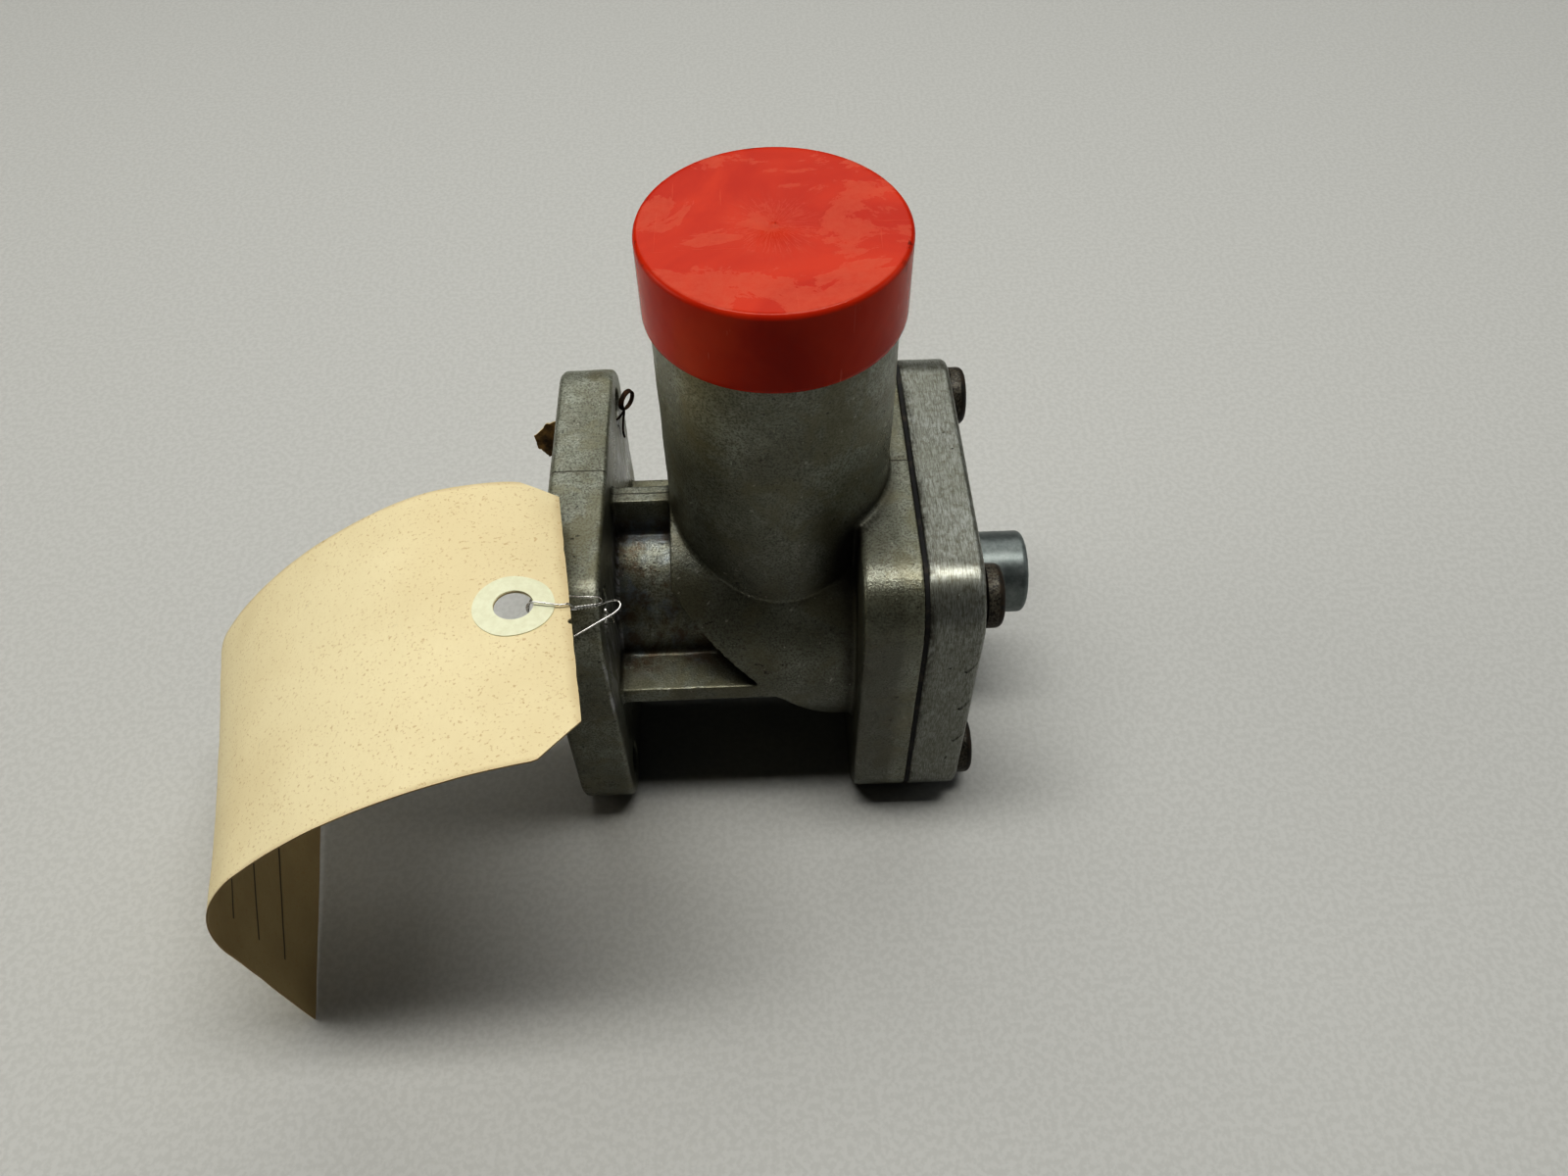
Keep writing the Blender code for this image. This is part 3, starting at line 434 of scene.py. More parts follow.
# ---------------------------------------------------------------- mesh helpers


def mesh_object(name, bm):
    mesh = bpy.data.meshes.new(name)
    bm.to_mesh(mesh)
    bm.free()
    obj = bpy.data.objects.new(name, mesh)
    bpy.context.scene.collection.objects.link(obj)
    return obj


def along(direction):
    return Vector(direction).to_track_quat("Z", "Y").to_matrix().to_4x4()


def rod(radius, start, end, segments=64):
    """A cylinder or cone between two points."""
    start, end = Vector(start), Vector(end)
    bm = bmesh.new()
    bmesh.ops.create_cone(
        bm, cap_ends=True, segments=segments, radius1=radius, radius2=radius,
        depth=(end - start).length, matrix=Matrix.Translation((start + end) / 2) @ along(end - start),
    )
    return mesh_object("tool", bm)


def neck_rod(radius, start, end, segments=64, y=0.0, z=AXIS_Z):
    return rod(radius, (at(start), y, z), (at(end), y, z), segments)


def block(low, high):
    low, high = Vector(low), Vector(high)
    bm = bmesh.new()
    size = Matrix.Diagonal((*(high - low), 1))
    bmesh.ops.create_cube(bm, size=1, matrix=Matrix.Translation((low + high) / 2) @ size)
    return mesh_object("tool", bm)


def plate(start, end, corner, near_edge, far_edge, steps=12):
    """A square plate across the neck, with round corners and rounded rims of the given radii."""
    half = FLANGE_SIDE / 2

    def outline(inset):
        radius, middle = max(corner - inset, 1e-5), half - corner
        points = []
        for quarter in range(4):
            cy, cz = [(1, 1), (-1, 1), (-1, -1), (1, -1)][quarter]
            for step in range(steps + 1):
                angle = math.pi / 2 * (quarter + step / steps)
                out, rise = radius * math.cos(angle), radius * math.sin(angle)
                points.append((cy * middle + out, cz * middle + rise))
        return points

    stack = rim_stack(start, near_edge, 1) + rim_stack(end, far_edge, -1)[::-1]
    bm = bmesh.new()
    rings = [[bm.verts.new((at(x), y, AXIS_Z + z)) for y, z in outline(inset)] for x, inset in stack]
    for a, b in zip(rings, rings[1:]):
        for i in range(len(a)):
            j = (i + 1) % len(a)
            bm.faces.new((a[i], a[j], b[j], b[i]))
    bm.faces.new(rings[0])
    bm.faces.new(rings[-1])
    bmesh.ops.recalc_face_normals(bm, faces=bm.faces)
    return mesh_object("plate", bm)


def rim_stack(x, edge, way, steps=5):
    """Places and insets of the loops that round a plate's rim, from its face inwards."""
    if not edge:
        return [(x, 0.0)]
    turns = [math.pi / 2 * i / steps for i in range(steps + 1)]
    return [(x + way * edge * (1 - math.cos(t)), edge * (1 - math.sin(t))) for t in turns]


def lathe(name, profile, direction=(1, 0, 0), origin=(0, 0, AXIS_Z), segments=96, closed=False):
    """Turns (radius, height) pairs about an axis; a radius of 0 closes the end."""
    bm = bmesh.new()
    rings = []
    for radius, height in profile:
        if radius < 1e-7:
            rings.append([bm.verts.new((0, 0, height))])
            continue
        angles = [2 * math.pi * i / segments for i in range(segments)]
        rings.append([bm.verts.new((radius * math.cos(a), radius * math.sin(a), height)) for a in angles])
    pairs = list(zip(rings, rings[1:])) + ([(rings[-1], rings[0])] if closed else [])
    for a, b in pairs:
        for i in range(segments):
            j = (i + 1) % segments
            corners = [a[i % len(a)], a[j % len(a)], b[j % len(b)], b[i % len(b)]]
            bm.faces.new(list(dict.fromkeys(corners)))
    bmesh.ops.recalc_face_normals(bm, faces=bm.faces)
    bmesh.ops.transform(bm, matrix=Matrix.Translation(origin) @ along(direction), verts=bm.verts)
    return mesh_object(name, bm)


def arc(radius, height, size, first, last, steps=6):
    angles = [math.radians(first + (last - first) * i / steps) for i in range(steps + 1)]
    return [(radius + size * math.cos(a), height + size * math.sin(a)) for a in angles]


def apply_all(obj):
    """Replaces the mesh by what its modifiers make of it."""
    bpy.context.view_layer.update()
    mesh = bpy.data.meshes.new_from_object(obj.evaluated_get(bpy.context.evaluated_depsgraph_get()))
    obj.modifiers.clear()
    obj.data = mesh
    return obj


def work(obj, operation, *tools):
    """Applies Booleans with the tools, and removes them."""
    for tool in tools:
        modifier = obj.modifiers.new("work", "BOOLEAN")
        modifier.operation = operation
        modifier.solver = "EXACT"
        modifier.object = tool
    apply_all(obj)
    for tool in tools:
        bpy.data.objects.remove(tool)
    return obj


def keep(obj, name, paint, body, slot, *nodes, angle=40):
    """Makes obj a named piece that rides on a body and stands for CAD nodes."""
    obj.name = name
    obj.data.name = name
    if paint is not None:
        obj.data.materials.clear()
        obj.data.materials.append(paint.material)
    if obj.type == "MESH":
        obj.data.shade_smooth()
        obj.data.set_sharp_from_angle(angle=math.radians(angle))
    if nodes:
        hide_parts(*nodes)
    if body:
        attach(obj, body)
    return obj


def corners():
    return [(sy * BOLT_OFFSET, AXIS_Z + sz * BOLT_OFFSET) for sz in (1, -1) for sy in (-1, 1)]


# ---------------------------------------------------------------- metal pieces

HEEL_ANGLE = math.radians(50)
VOXEL = 0.42 * MM


def heel_block(distance):
    """Everything below and behind the slanting heel, which crosses the neck's axis at distance."""
    outward = Vector((-math.sin(HEEL_ANGLE), 0, -math.cos(HEEL_ANGLE)))
    size = 160 * MM
    bm = bmesh.new()
    centre = Vector((at(distance), 0, AXIS_Z)) + outward * size / 2
    bmesh.ops.create_cube(bm, size=size, matrix=Matrix.Translation(centre) @ along(outward))
    return mesh_object("heel", bm)


def ribs():
    """Top, bottom, front and back rib between the neck and the outlet flange."""
    half, inner, outer = 2.5 * MM, 20 * MM, 32.3 * MM
    made = []
    for sy, sz, end in ((0, 1, 28), (0, -1, 66), (1, 0, 46.5), (-1, 0, 46.5)):
        y = sorted((sy * inner, sy * outer)) if sy else [-half, half]
        z = sorted((sz * inner, sz * outer)) if sz else [-half, half]
        made.append(block((at(11 * MM), y[0], AXIS_Z + z[0]), (at(end * MM), y[1], AXIS_Z + z[1])))
    return made


def casting():
    """The body as the CAD has it, remeshed and eased so that its corners get a casting's soft fillets."""
    spigot = (at(SPIGOT_AT), 0)
    body = neck_rod(32.5 * MM, 25.2 * MM, 66 * MM, 128)
    work(body, "UNION", rod(23.85 * MM, (*spigot, 52 * MM), (*spigot, 138.6 * MM), 128))
    work(body, "DIFFERENCE", heel_block(45.5 * MM))
    work(body, "UNION", neck_rod(22 * MM, 6 * MM, 66 * MM, 96), *ribs())
    work(body, "UNION", plate(0, 12.4 * MM, 12.5 * MM, 1.2 * MM, 1.2 * MM))
    work(body, "UNION", plate(64.9 * MM, FLANGE_END, 13 * MM, 1.2 * MM, 0))
    hollow = neck_rod(27 * MM, 31 * MM, 80 * MM, 96)
    work(hollow, "UNION", rod(20.6 * MM, (*spigot, AXIS_Z), (*spigot, 145 * MM), 96))
    work(hollow, "DIFFERENCE", heel_block(51.4 * MM))
    work(body, "DIFFERENCE", hollow)
    tools = [neck_rod(17.5 * MM, 38 * MM, 79 * MM, 96), neck_rod(16 * MM, -2 * MM, 30 * MM, 96)]
    tools.append(neck_rod(9.3 * MM, 28 * MM, 40 * MM, 64))
    for y, z in corners():
        tools.append(neck_rod(4.5 * MM, -2 * MM, 14 * MM, 40, y, z))
        tools.append(neck_rod(3.4 * MM, 66.65 * MM, 79 * MM, 32, y, z))
    work(body, "DIFFERENCE", *tools)
    remesh = body.modifiers.new("voxels", "REMESH")
    remesh.mode = "VOXEL"
    remesh.voxel_size = VOXEL
    ease = body.modifiers.new("ease", "SMOOTH")
    ease.factor = 0.5
    ease.iterations = 5
    apply_all(body)
    level_machined_faces(body)
    return keep(body, "trap_casting", cast_aluminium(), "body", "cast_body", "trap_body", angle=180)


def level_machined_faces(body):
    """Puts the turned faces back where the CAD has them, and gives the cast skin a slight waviness."""
    seats = [(0, at(0)), (0, at(FLANGE_END)), (2, 138.6 * MM), (2, 0.0)]
    bm = bmesh.new()
    bm.from_mesh(body.data)
    bm.normal_update()
    moved = []
    for vert in bm.verts:
        place, facing = vert.co, vert.normal
        seated = False
        for axis, level in seats:
            if abs(place[axis] - level) < 0.4 * MM and abs(facing[axis]) > 0.95:
                place[axis] = level
                seated = True
        if not seated:
            wave = noise.noise(place * 90) * 0.16 * MM + noise.noise(place * 300) * 0.05 * MM
            moved.append((vert, wave * facing - 0.1 * MM * facing))
    for vert, step in moved:
        vert.co += step
    bm.to_mesh(body.data)
    bm.free()


def machined_cover():
    cover = plate(COVER_START, COVER_END, 13 * MM, 0.4 * MM, 1.5 * MM, 16)
    tools = [neck_rod(8.3 * MM, 76 * MM, 92 * MM, 64)]
    tools += [neck_rod(4.5 * MM, 76 * MM, 92 * MM, 40, y, z) for y, z in corners()]
    nicks = random.Random(4)
    for height in (61.5, 33.5, 47):
        x, deep = COVER_END + 0.35 * MM, nicks.uniform(0.6, 0.9) * MM
        low, high = (at(x), -40.2 * MM, height * MM), (at(x - 3.2 * MM), -40.2 * MM, (height - 5) * MM)
        tools.append(rod(deep * 0.7, low, high, 10))
    work(cover, "DIFFERENCE", *tools)
    return keep(cover, "cover_plate", machined_aluminium(), "body", "machined_cover", "cover", angle=30)


def gasket():
    """Rubber sheet a little smaller than the flanges, squeezed out here and there."""
    sheet = plate(FLANGE_END + 0.02 * MM, COVER_START - 0.02 * MM, 12.6 * MM, 0, 0, 16)
    work(sheet, "DIFFERENCE", neck_rod(27 * MM, 76 * MM, 80 * MM))
    for vert in sheet.data.vertices:
        y, z = vert.co.y, vert.co.z - AXIS_Z
        if max(abs(y), abs(z)) > 30 * MM:
            shrink = 1 - 0.008 - 0.004 * noise.noise(Vector((y, z, 0)) * 120)
            vert.co.y = y * shrink
            vert.co.z = AXIS_Z + z * shrink
    return keep(sheet, "gasket_sheet", rubber(), "body", "gasket", "cover_gasket")


def screws():
    paint = black_steel()
    start, height, radius, edge = COVER_END + 0.3 * MM, 3.9 * MM, 6.75 * MM, 1.6 * MM
    for n, (y, z) in enumerate(corners()):
        top = start + height
        profile = [(0, at(top)), (4.2 * MM, at(top)), *arc(radius - edge, at(top - edge), edge, 90, 0)]
        profile += [(radius, at(start + 0.3 * MM)), (radius - 0.3 * MM, at(start)), (3.1 * MM, at(start))]
        profile += [(3.1 * MM, at(68.2 * MM)), (2.3 * MM, at(67.4 * MM)), (0, at(67.4 * MM))]
        screw = lathe("screw", profile, origin=(0, y, z), segments=64)
        work(screw, "DIFFERENCE", neck_rod(2.9 * MM, top - 2.4 * MM, top + MM, 6, y, z))
        keep(screw, f"screw_{n + 1}", paint, "body", "black_screws", f"cover_screw_{n + 1}", angle=35)


def holder():
    shoulder, end, edge, bore = COVER_END + 0.3 * MM, HOLDER_END, 1.5 * MM, 3.3 * MM
    profile = [(0, at(end)), (5 * MM, at(end)), *arc(9.8 * MM - edge, at(end - edge), edge, 90, 0, 8)]
    profile += [(9.8 * MM, at(shoulder + 0.4 * MM)), (9.4 * MM, at(shoulder)), (8 * MM, at(shoulder))]
    profile += [(8 * MM, at(75.7 * MM)), (bore, at(75.7 * MM)), (bore, at(96 * MM)), (0, at(96 * MM))]
    boss = lathe("boss", profile, segments=128)
    keep(boss, "element_boss", turned_metal(), "body", "turned_metal", "element_holder", angle=35)


def bellows(paint):
    """Folded metal tube with four folds."""
    start, end, folds, steps = 56.8 * MM, 68.8 * MM, 4, 10
    outer = []
    for i in range(folds * steps + 1):
        share = i / (folds * steps)
        wave = -math.cos(2 * math.pi * folds * share)
        wave = math.copysign(abs(wave) ** 0.6, wave)
        outer.append(((10.25 + 1.75 * wave) * MM, at(end + (start - end) * share)))
    inner = [(radius - 0.5 * MM, height) for radius, height in reversed(outer)]
    tube = lathe("bellows_tube", outer + inner, segments=64, closed=True)
    keep(tube, "bellows_tube", paint, None, "brass", "bellows", angle=60)
    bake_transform(tube)


def cap():
    """Push-on cap: nearly flat lid, soft rim, gate mark in its middle, skirt a little wider below."""
    radius, top, bottom, edge = 25 * MM, 140.6 * MM, 123.4 * MM, 1.2 * MM
    profile = [(0, top - 0.02 * MM), (0.55 * MM, top - 0.04 * MM), (0.75 * MM, top - 0.16 * MM)]
    profile += [(1.3 * MM, top - 0.17 * MM), (1.6 * MM, top - 0.1 * MM), (8 * MM, top - 0.1 * MM)]
    profile += [(16 * MM, top - 0.07 * MM), (19.5 * MM, top - 0.04 * MM)]
    profile += [(radius - edge - 0.5 * MM, top), *arc(radius - 0.04 * MM - edge, top - edge, edge, 88, 0, 10)]
    profile += [(radius - 0.02 * MM, 131 * MM), (radius - 0.01 * MM, bottom + 2.6 * MM)]
    profile += [(radius, bottom + 1.2 * MM), (radius - 0.03 * MM, bottom + 0.35 * MM)]
    profile += [(radius - 0.35 * MM, bottom), (radius - 0.75 * MM, bottom)]
    profile += [(radius - 0.75 * MM, top - 1.6 * MM), (0, top - 1.6 * MM)]
    lid = lathe("cap", profile, (0, 0, 1), (at(SPIGOT_AT), 0, 0), 160)
    return keep(lid, "red_cap", red_plastic(), "cap", "red_plastic", "protective_cap", angle=50)


# ---------------------------------------------------------------- tag

TAG_HEADING = math.radians(6.5)
FRONT_EDGE = ((14.7, -79.3, 96.2), 0, ((71, -42), (35, -54), (40, 0)))
BACK_EDGE = ((3.1, -7.7, 84.0), 21, ((36.5, -44.5), (53.5, -27.5), (56, -88.5)))
TAG_CLIP, FRONT_CLIP, BACK_CLIP = 8 * MM, 7 * MM, 4 * MM
EYELET_AT, EYELET_ACROSS, EYELET_HOLE, EYELET_PATCH = 10.4 * MM, 36.8 * MM, 3.7 * MM, 7.7 * MM


def edge_point(edge, distance):
    """The point that far along a long edge: arcs, each with a length and a turn, in an upright plane."""
    start, slope, arcs = edge
    heading = Vector((-math.cos(TAG_HEADING), -math.sin(TAG_HEADING), 0))
    point, slope = Vector((at(start[0] * MM), start[1] * MM, start[2] * MM)), math.radians(slope)
    for length, turn in arcs:
        part = min(distance, length * MM)
        bend = math.radians(turn) * part / (length * MM)
        chord = part if abs(bend) < 1e-6 else part * math.sin(bend / 2) / (bend / 2)
        middle = slope + bend / 2
        point += chord * (heading * math.cos(middle) + Vector((0, 0, math.sin(middle))))
        slope += bend
        distance -= part
    return point


def tag_point(run, across):
    return edge_point(FRONT_EDGE, run).lerp(edge_point(BACK_EDGE, run), across / TAG_WIDTH)


def tag_normal(run, across):
    step = 0.5 * MM
    ahead = tag_point(run + step, across) - tag_point(max(run - step, 0), across)
    return ahead.cross(tag_point(run, across + step) - tag_point(run, across - step)).normalized() * -1


def tag_place(run, across, lift=0.0):
    """A point over the card's upper side, with the card's slight waviness."""
    wave = 0.22 * MM * noise.noise(Vector((run * 40, across * 55, 3.0)))
    wave += 0.1 * MM * noise.noise(Vector((run * 130, across * 150, 7.0)))
    away = math.hypot(run - EYELET_AT, across - EYELET_ACROSS)
    calm = min(1.0, max(0.0, (away - EYELET_PATCH) / (8 * MM)))
    return tag_point(run, across) + (lift + wave * calm) * tag_normal(run, across)


def tag_card():
    """The card, with clipped corners, a worn end, its hole and a side for each material."""
    runs, cells = 132, 40
    bm = bmesh.new()
    layer = bm.loops.layers.uv.new("card")
    rows, places = [], {}
    for i in range(runs + 1):
        run = TAG_LENGTH * i / runs
        clipped = max(0.0, 1 - run / TAG_CLIP)
        first, last = FRONT_CLIP * clipped, TAG_WIDTH - BACK_CLIP * clipped
        row = []
        for j in range(cells + 1):
            across = first + (last - first) * j / cells
            worn = 0.25 * MM * noise.noise(Vector((across * 260, 0, 5))) if i == 0 else 0.0
            vert = bm.verts.new(tag_place(max(0.0, run + worn), across))
            places[vert] = (run / TAG_LENGTH, across / TAG_WIDTH)
            row.append(vert)
        rows.append(row)
    for a, b in zip(rows, rows[1:]):
        for j in range(cells):
            face = bm.faces.new((a[j], b[j], b[j + 1], a[j + 1]))
            for loop in face.loops:
                loop[layer].uv = places[loop.vert]
    bmesh.ops.recalc_face_normals(bm, faces=bm.faces)
    middle = bm.faces[:][runs * cells // 2]
    if middle.normal.dot(tag_normal(TAG_LENGTH / 2, TAG_WIDTH / 2)) < 0:
        bmesh.ops.reverse_faces(bm, faces=bm.faces)
    sheet = mesh_object("card", bm)
    outer = card("manila_outside", (0.8, 0.71, 0.47), (0.74, 0.64, 0.41))
    # The inside is a darker copy of the manila: painted shade on the card's underside.
    inner = card("manila_inside_shaded", (0.5, 0.4, 0.22), (0.42, 0.32, 0.17), ruled=True)
    rim = card("manila_edge", (0.6, 0.46, 0.26), (0.45, 0.33, 0.18))
    for paint in (outer, inner, rim):
        sheet.data.materials.append(paint.material)
    solid = sheet.modifiers.new("thickness", "SOLIDIFY")
    solid.thickness = CARD
    solid.offset = 0
    solid.material_offset = 1
    solid.material_offset_rim = 2
    apply_all(sheet)
    centre, up = tag_point(EYELET_AT, EYELET_ACROSS), tag_normal(EYELET_AT, EYELET_ACROSS)
    notch = tag_point(0, 31.5 * MM)
    work(
        sheet, "DIFFERENCE", rod(EYELET_HOLE, centre - 5 * MM * up, centre + 5 * MM * up, 72),
        rod(0.7 * MM, notch - 4 * MM * up, notch + 4 * MM * up, 12),
    )
    keep(sheet, "stock_tag_card", None, "stock_tag", "manila_card", "tag", angle=50)


def tag_patch(name, side, node, paint):
    """Paper ring round the hole, glued on one side, with a slightly uneven outline."""
    steps, rings, thick = 96, 5, 0.16 * MM
    low = CARD / 2 + 0.02 * MM
    bm = bmesh.new()
    sides = []
    for lift in (low, low + thick):
        grid = []
        for k in range(rings):
            share = k / (rings - 1)
            ring = []
            for i in range(steps):
                angle = 2 * math.pi * i / steps
                wander = Vector((math.cos(angle) * 1.4, math.sin(angle) * 1.4, side * 3.0))
                outside = EYELET_PATCH + 0.22 * MM * noise.noise(wander)
                radius = EYELET_HOLE + 0.05 * MM + (outside - EYELET_HOLE - 0.05 * MM) * share
                run, across = EYELET_AT + radius * math.cos(angle), EYELET_ACROSS + radius * math.sin(angle)
                ring.append(bm.verts.new(tag_place(run, across, side * lift)))
            grid.append(ring)
        sides.append(grid)
    inside, outside = sides
    for i in range(steps):
        j = (i + 1) % steps
        for k in range(rings - 1):
            bm.faces.new((inside[k][i], inside[k][j], inside[k + 1][j], inside[k + 1][i]))
            bm.faces.new((outside[k][i], outside[k + 1][i], outside[k + 1][j], outside[k][j]))
        bm.faces.new((inside[0][i], outside[0][i], outside[0][j], inside[0][j]))
        bm.faces.new((inside[-1][i], inside[-1][j], outside[-1][j], outside[-1][i]))
    bmesh.ops.recalc_face_normals(bm, faces=bm.faces)
    keep(mesh_object(name, bm), name, paint, "stock_tag", "patch_paper", node)


# ---------------------------------------------------------------- wires

TAG_WIRE_TAIL = [
    (8.2, -43.4, 79.6), (12.6, -40.4, 79.7), (16, -38, 79.8), (16.9, -36.6, 80.2), (16.1, -35.9, 80.7),
    (14.6, -36.6, 81.3),
]
TWIST_RIGHT, TWIST_LEFT, TWIST_TURNS, TWIST_RADIUS = (12.8, -38.2, 82.4), (9.1, -41.7, 86.2), 3.5, 0.22
TAG_WIRE_LOOP = [
    (9.3, -43.2, 88.6), (8.9, -44.3, 91), (7.4, -44.8, 91.5), (5.2, -44.7, 91.9), (2.9, -44.4, 92.1),
    (1.7, -44.4, 91.7), (1.1, -44.5, 90.4), (1.5, -44.6, 88.9), (3.4, -44.5, 88.3),
    (5.6, -43.8, 88), (7.6, -42.9, 87.5),
]
TAG_WIRE_TIE = [
    (13.6, -37.3, 82.1), (12.9, -36, 81.8), (11.4, -35.5, 81.5), (7.5, -35.1, 81.4), (3.4, -34.6, 81.9),
    (0.2, -34.8, 81.4), (-1.5, -34.9, 78.6), (-2, -34.6, 74), (-1.8, -33.4, 69.8), (-0.5, -31.8, 67.2),
    (2, -31.2, 66.6), (9, -31.2, 66.6), (12.8, -31.7, 67.3), (14.2, -33.4, 70.4), (14.2, -35.4, 75.4),
    (13.8, -36.8, 79),
]
RUSTY_START = [(-2.4, 28, 66.2), (2, 28.8, 66.3), (8, 28.6, 66.6), (11.6, 28.2, 67.6), (13, 28.3, 69)]
RUSTY_COIL, RUSTY_COIL_RADIUS, RUSTY_TURNS = (14.2, 30, 72.4), 2.4, 2.75
RUSTY_TAIL = [
    (13.9, 28.1, 70.4), (13.5, 28.3, 68.2), (13.1, 28.5, 65.6), (12.9, 28.4, 63.4), (13.1, 28.2, 61.6),
]


def from_flange(point):
    return Vector((at(point[0] * MM), point[1] * MM, point[2] * MM))


def smooth_route(points, spacing):
    """Points a spacing apart on a smooth curve through the given points."""
    ends = [points[0] * 2 - points[1], *points, points[-1] * 2 - points[-2]]
    fine = []
    for a, b, c, d in zip(ends, ends[1:], ends[2:], ends[3:]):
        for i in range(16):
            t = i / 16
            square, cube = 2 * a - 5 * b + 4 * c - d, 3 * b - a - 3 * c + d
            fine.append(0.5 * (2 * b + (c - a) * t + square * t**2 + cube * t**3))
    fine.append(points[-1])
    route, travelled = [fine[0]], 0.0
    for a, b in zip(fine, fine[1:]):
        travelled += (b - a).length
        if travelled >= spacing:
            route.append(b)
            travelled = 0.0
    return route


def wire(name, route, radius, paint, body, node):
    """A round wire as a curve."""
    curve = bpy.data.curves.new(name, "CURVE")
    curve.dimensions = "3D"
    spline = curve.splines.new("POLY")
    spline.points.add(len(route) - 1)
    for point, place in zip(spline.points, route):
        point.co = (*place, 1)
    curve.bevel_depth = radius
    curve.bevel_resolution = 3
    curve.use_fill_caps = True
    curve.materials.append(paint.material)
    obj = bpy.data.objects.new(name, curve)
    bpy.context.scene.collection.objects.link(obj)
    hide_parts(node)
    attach(obj, body)
    return obj


def twisted(start, end, phase):
    """One strand of a twisted pair between two points."""
    start, end = from_flange(start), from_flange(end)
    turned = along(end - start).to_3x3()
    points, steps = [], 40
    for i in range(1, steps):
        angle = 2 * math.pi * TWIST_TURNS * i / steps + phase
        side = Vector((math.cos(angle), math.sin(angle), 0)) * TWIST_RADIUS * MM
        points.append(start.lerp(end, i / steps) + turned @ side)
    return points


def wires():
    parts = (TAG_WIRE_TAIL, TAG_WIRE_LOOP, TAG_WIRE_TIE)
    tail, loop, tie = ([from_flange(p) for p in part] for part in parts)
    there, back = (twisted(TWIST_RIGHT, TWIST_LEFT, phase) for phase in (0.0, math.pi))
    route = smooth_route([*tail, *there, *loop, *reversed(back), *tie], 0.16 * MM)
    wire("tag_tie_wire", route, 0.2 * MM, bright_wire(), "body", "tag_wire")
    coil, steps = [], 16
    for i in range(int(steps * RUSTY_TURNS) + 1):
        angle = 2 * math.pi * i / steps - math.pi / 2
        radius, drift = RUSTY_COIL_RADIUS - 0.12 * i / steps, 0.3 * i / steps
        out, rise = radius * math.cos(angle), radius * math.sin(angle)
        x, y, z = RUSTY_COIL
        coil.append((x + 0.58 * out + drift, y + 0.9 * out - drift / 2, z + rise))
    route = smooth_route([from_flange(p) for p in (*RUSTY_START, *coil, *RUSTY_TAIL)], 0.3 * MM)
    wire("rusty_tie_wire", route, 0.25 * MM, rusty_metal(), "body", "rusty_wire")


def tag_remnant():
    """Torn bit of an older tag: a thin curled flake with ragged edges."""
    outline = [(-1, 68.6), (-4.9, 67.6), (-8, 64.4), (-7.4, 61.2), (-6.3, 60.4), (-5.2, 59.2), (-0.8, 59.8)]
    middle = Vector((sum(x for x, z in outline) / 7, sum(z for x, z in outline) / 7))
    ring = []
    for n, (a, b) in enumerate(zip(outline, outline[1:] + outline[:1])):
        for i in range(8):
            spot = Vector(a).lerp(Vector(b), i / 8)
            away = (spot - middle).normalized()
            ring.append(spot + away * 0.35 * noise.noise(Vector((spot.x * 2.1, spot.y * 2.1, n * 1.7))))
    rows = 6
    bm = bmesh.new()
    grid = []
    for k in range(1, rows + 1):
        spots = [middle.lerp(spot, k / rows) for spot in ring]
        curl = []
        for s in spots:
            bend = 0.25 * (s.y - 60) + 0.03 * (s.x + 4) ** 2
            curl.append(25.6 + bend + 0.3 * noise.noise(Vector((s.x, s.y, 2)) * 0.5))
        grid.append([bm.verts.new(from_flange((s.x, y, s.y))) for s, y in zip(spots, curl)])
    hub = bm.verts.new(from_flange((middle.x, 25.6 + 0.25 * (middle.y - 60), middle.y)))
    count = len(ring)
    for i in range(count):
        j = (i + 1) % count
        bm.faces.new((hub, grid[0][i], grid[0][j]))
        for a, b in zip(grid, grid[1:]):
            bm.faces.new((a[i], b[i], b[j], a[j]))
    bmesh.ops.recalc_face_normals(bm, faces=bm.faces)
    flake = mesh_object("flake", bm)
    solid = flake.modifiers.new("thickness", "SOLIDIFY")
    solid.thickness = 0.45 * MM
    solid.offset = 0
    solid.material_offset_rim = 1
    face = old_card("old_card", (0.07, 0.04, 0.012), (0.27, 0.17, 0.06))
    torn = old_card("torn_edge", (0.4, 0.3, 0.14), (0.7, 0.58, 0.33))
    for paint in (face, torn):
        flake.data.materials.append(paint.material)
    apply_all(flake)
    keep(flake, "old_tag_remnant", None, "body", "old_card", "tag_scrap", angle=60)


# ---------------------------------------------------------------- camera, floor, light

CAMERA_AT = (-0.00927, -0.18075, 0.26847)
CAMERA_TURN = (1.78, 52.05, -0.71)  # to the right, down, roll, in degrees
CAMERA_LENS = 27.7  # millimetres, on a 36 mm sensor


def photo_camera():
    data = bpy.data.cameras.new("camera")
    data.sensor_width = 36
    data.lens = CAMERA_LENS
    data.clip_start = 0.01
    data.clip_end = 20
    yaw, pitch, roll = (math.radians(angle) for angle in CAMERA_TURN)
    ahead = Vector((math.sin(yaw) * math.cos(pitch), math.cos(yaw) * math.cos(pitch), -math.sin(pitch)))
    level = Vector((math.cos(yaw), -math.sin(yaw), 0))
    over = level.cross(ahead)
    right = math.cos(roll) * level + math.sin(roll) * over
    up = math.cos(roll) * over - math.sin(roll) * level
    turn = Matrix((right, up, -ahead)).transposed().to_4x4()
    camera = bpy.data.objects.new("camera", data)
    bpy.context.scene.collection.objects.link(camera)
    camera.matrix_world = Matrix.Translation(CAMERA_AT) @ turn
    bpy.context.scene.camera = camera


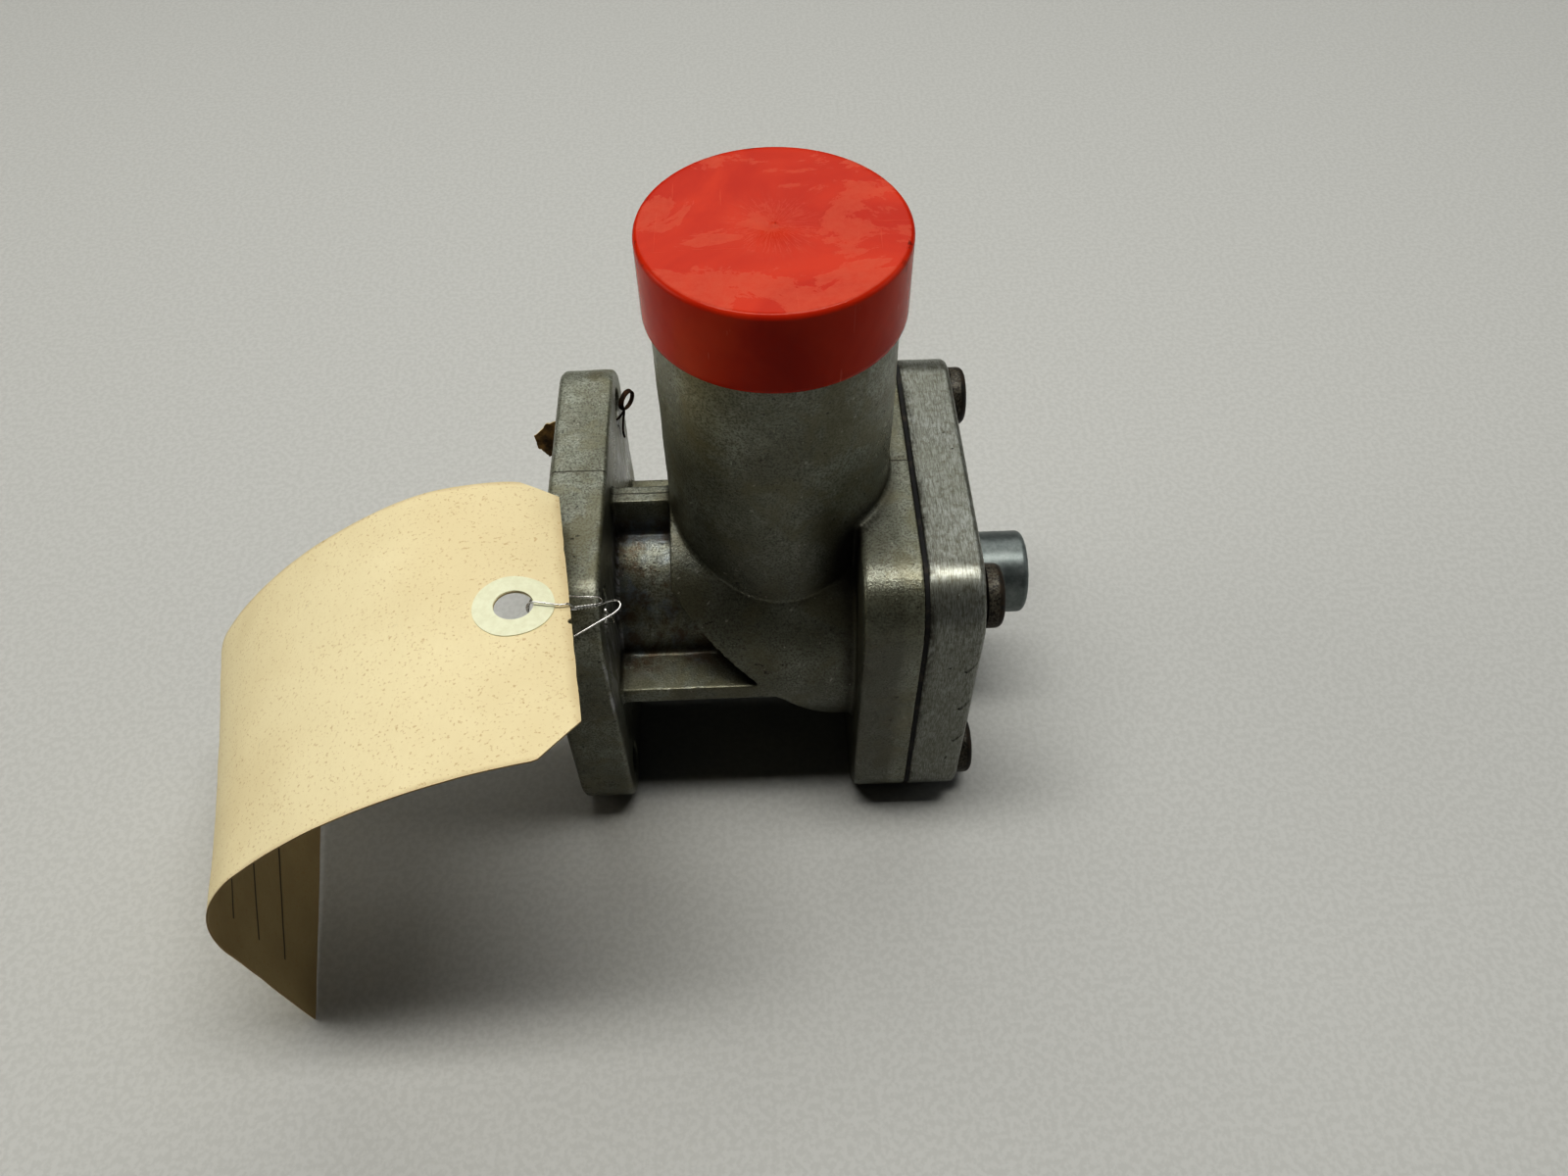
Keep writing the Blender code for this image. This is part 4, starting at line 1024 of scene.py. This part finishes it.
def floor():
    bm = bmesh.new()
    bmesh.ops.create_grid(bm, x_segments=1, y_segments=1, size=3)
    ground = mesh_object("floor", bm)
    ground.location.z = -0.0002
    paint = Paint("floor_paint", roughness=0.6)
    paint.colour(paint.mix(paint.fade(paint.noise(700, 2), 0.4, 0.6), (0.5, 0.5, 0.48), (0.54, 0.54, 0.52)))
    ground.data.materials.append(paint.material)


def area_light(name, place, target, size, power, colour=(1, 1, 1)):
    data = bpy.data.lights.new(name, "AREA")
    data.shape = "RECTANGLE"
    data.size, data.size_y = size
    data.energy = power
    data.color = colour
    light = bpy.data.objects.new(name, data)
    bpy.context.scene.collection.objects.link(light)
    place = Vector(place)
    light.matrix_world = Matrix.Translation(place) @ along(place - Vector(target))
    return light


def lights():
    area_light("ceiling_strip", (0.0, 0.03, 1.2), (0, 0, 0.05), (1.15, 0.2), 8.4, (1.0, 0.99, 0.955))
    area_light("back_panel", (0.1, 1.0, 1.1), (0, 0, 0.08), (1.8, 0.7), 5.2, (0.99, 1.0, 0.98))
    area_light("left_panel", (-1.1, 0.1, 0.5), (0, 0, 0.08), (0.7, 0.6), 2.2, (1.0, 0.98, 0.93))
    area_light("right_panel", (1.1, 0.1, 0.5), (0, 0, 0.08), (0.7, 0.6), 0.9, (0.97, 0.99, 1.0))
    world = bpy.data.worlds.new("world")
    world.use_nodes = True
    world.node_tree.nodes["Background"].inputs["Color"].default_value = (0.9, 0.95, 1.0, 1)
    world.node_tree.nodes["Background"].inputs["Strength"].default_value = 0.02
    bpy.context.scene.world = world
    bpy.context.scene.view_settings.view_transform = "Standard"
    bpy.context.scene.view_settings.look = "High Contrast"


def dress_inner_nodes():
    """The CAD's own inner pieces keep their shape and get finished metal."""
    steel = plain_metal("stainless", (0.5, 0.5, 0.48), (0.66, 0.66, 0.64))
    copper = plain_metal("copper", (0.5, 0.2, 0.1), (0.68, 0.32, 0.17))
    brass = plain_metal("brass", (0.6, 0.41, 0.15), (0.74, 0.54, 0.24))
    finishes = {
        "valve_seat": steel, "seat_washer": copper, "valve_cone": steel, "valve_stem": steel,
        "lock_nut": steel, "bellows_front_plate": brass, "bellows_rear_plate": brass,
        "element_stud": steel, "strainer_screen": steel, "screen_ring": steel,
    }
    for name, paint in finishes.items():
        for place in bpy.data.objects[name].material_slots:
            place.material = paint.material
    return brass


photo_camera()
wires()
tag_card()
paper = patch_paper()
tag_patch("upper_patch", 1, "tag_patch_upper", paper)
tag_patch("lower_patch", -1, "tag_patch_lower", paper)
tag_remnant()
casting()
machined_cover()
gasket()
screws()
holder()
bellows(dress_inner_nodes())
cap()
floor()
lights()
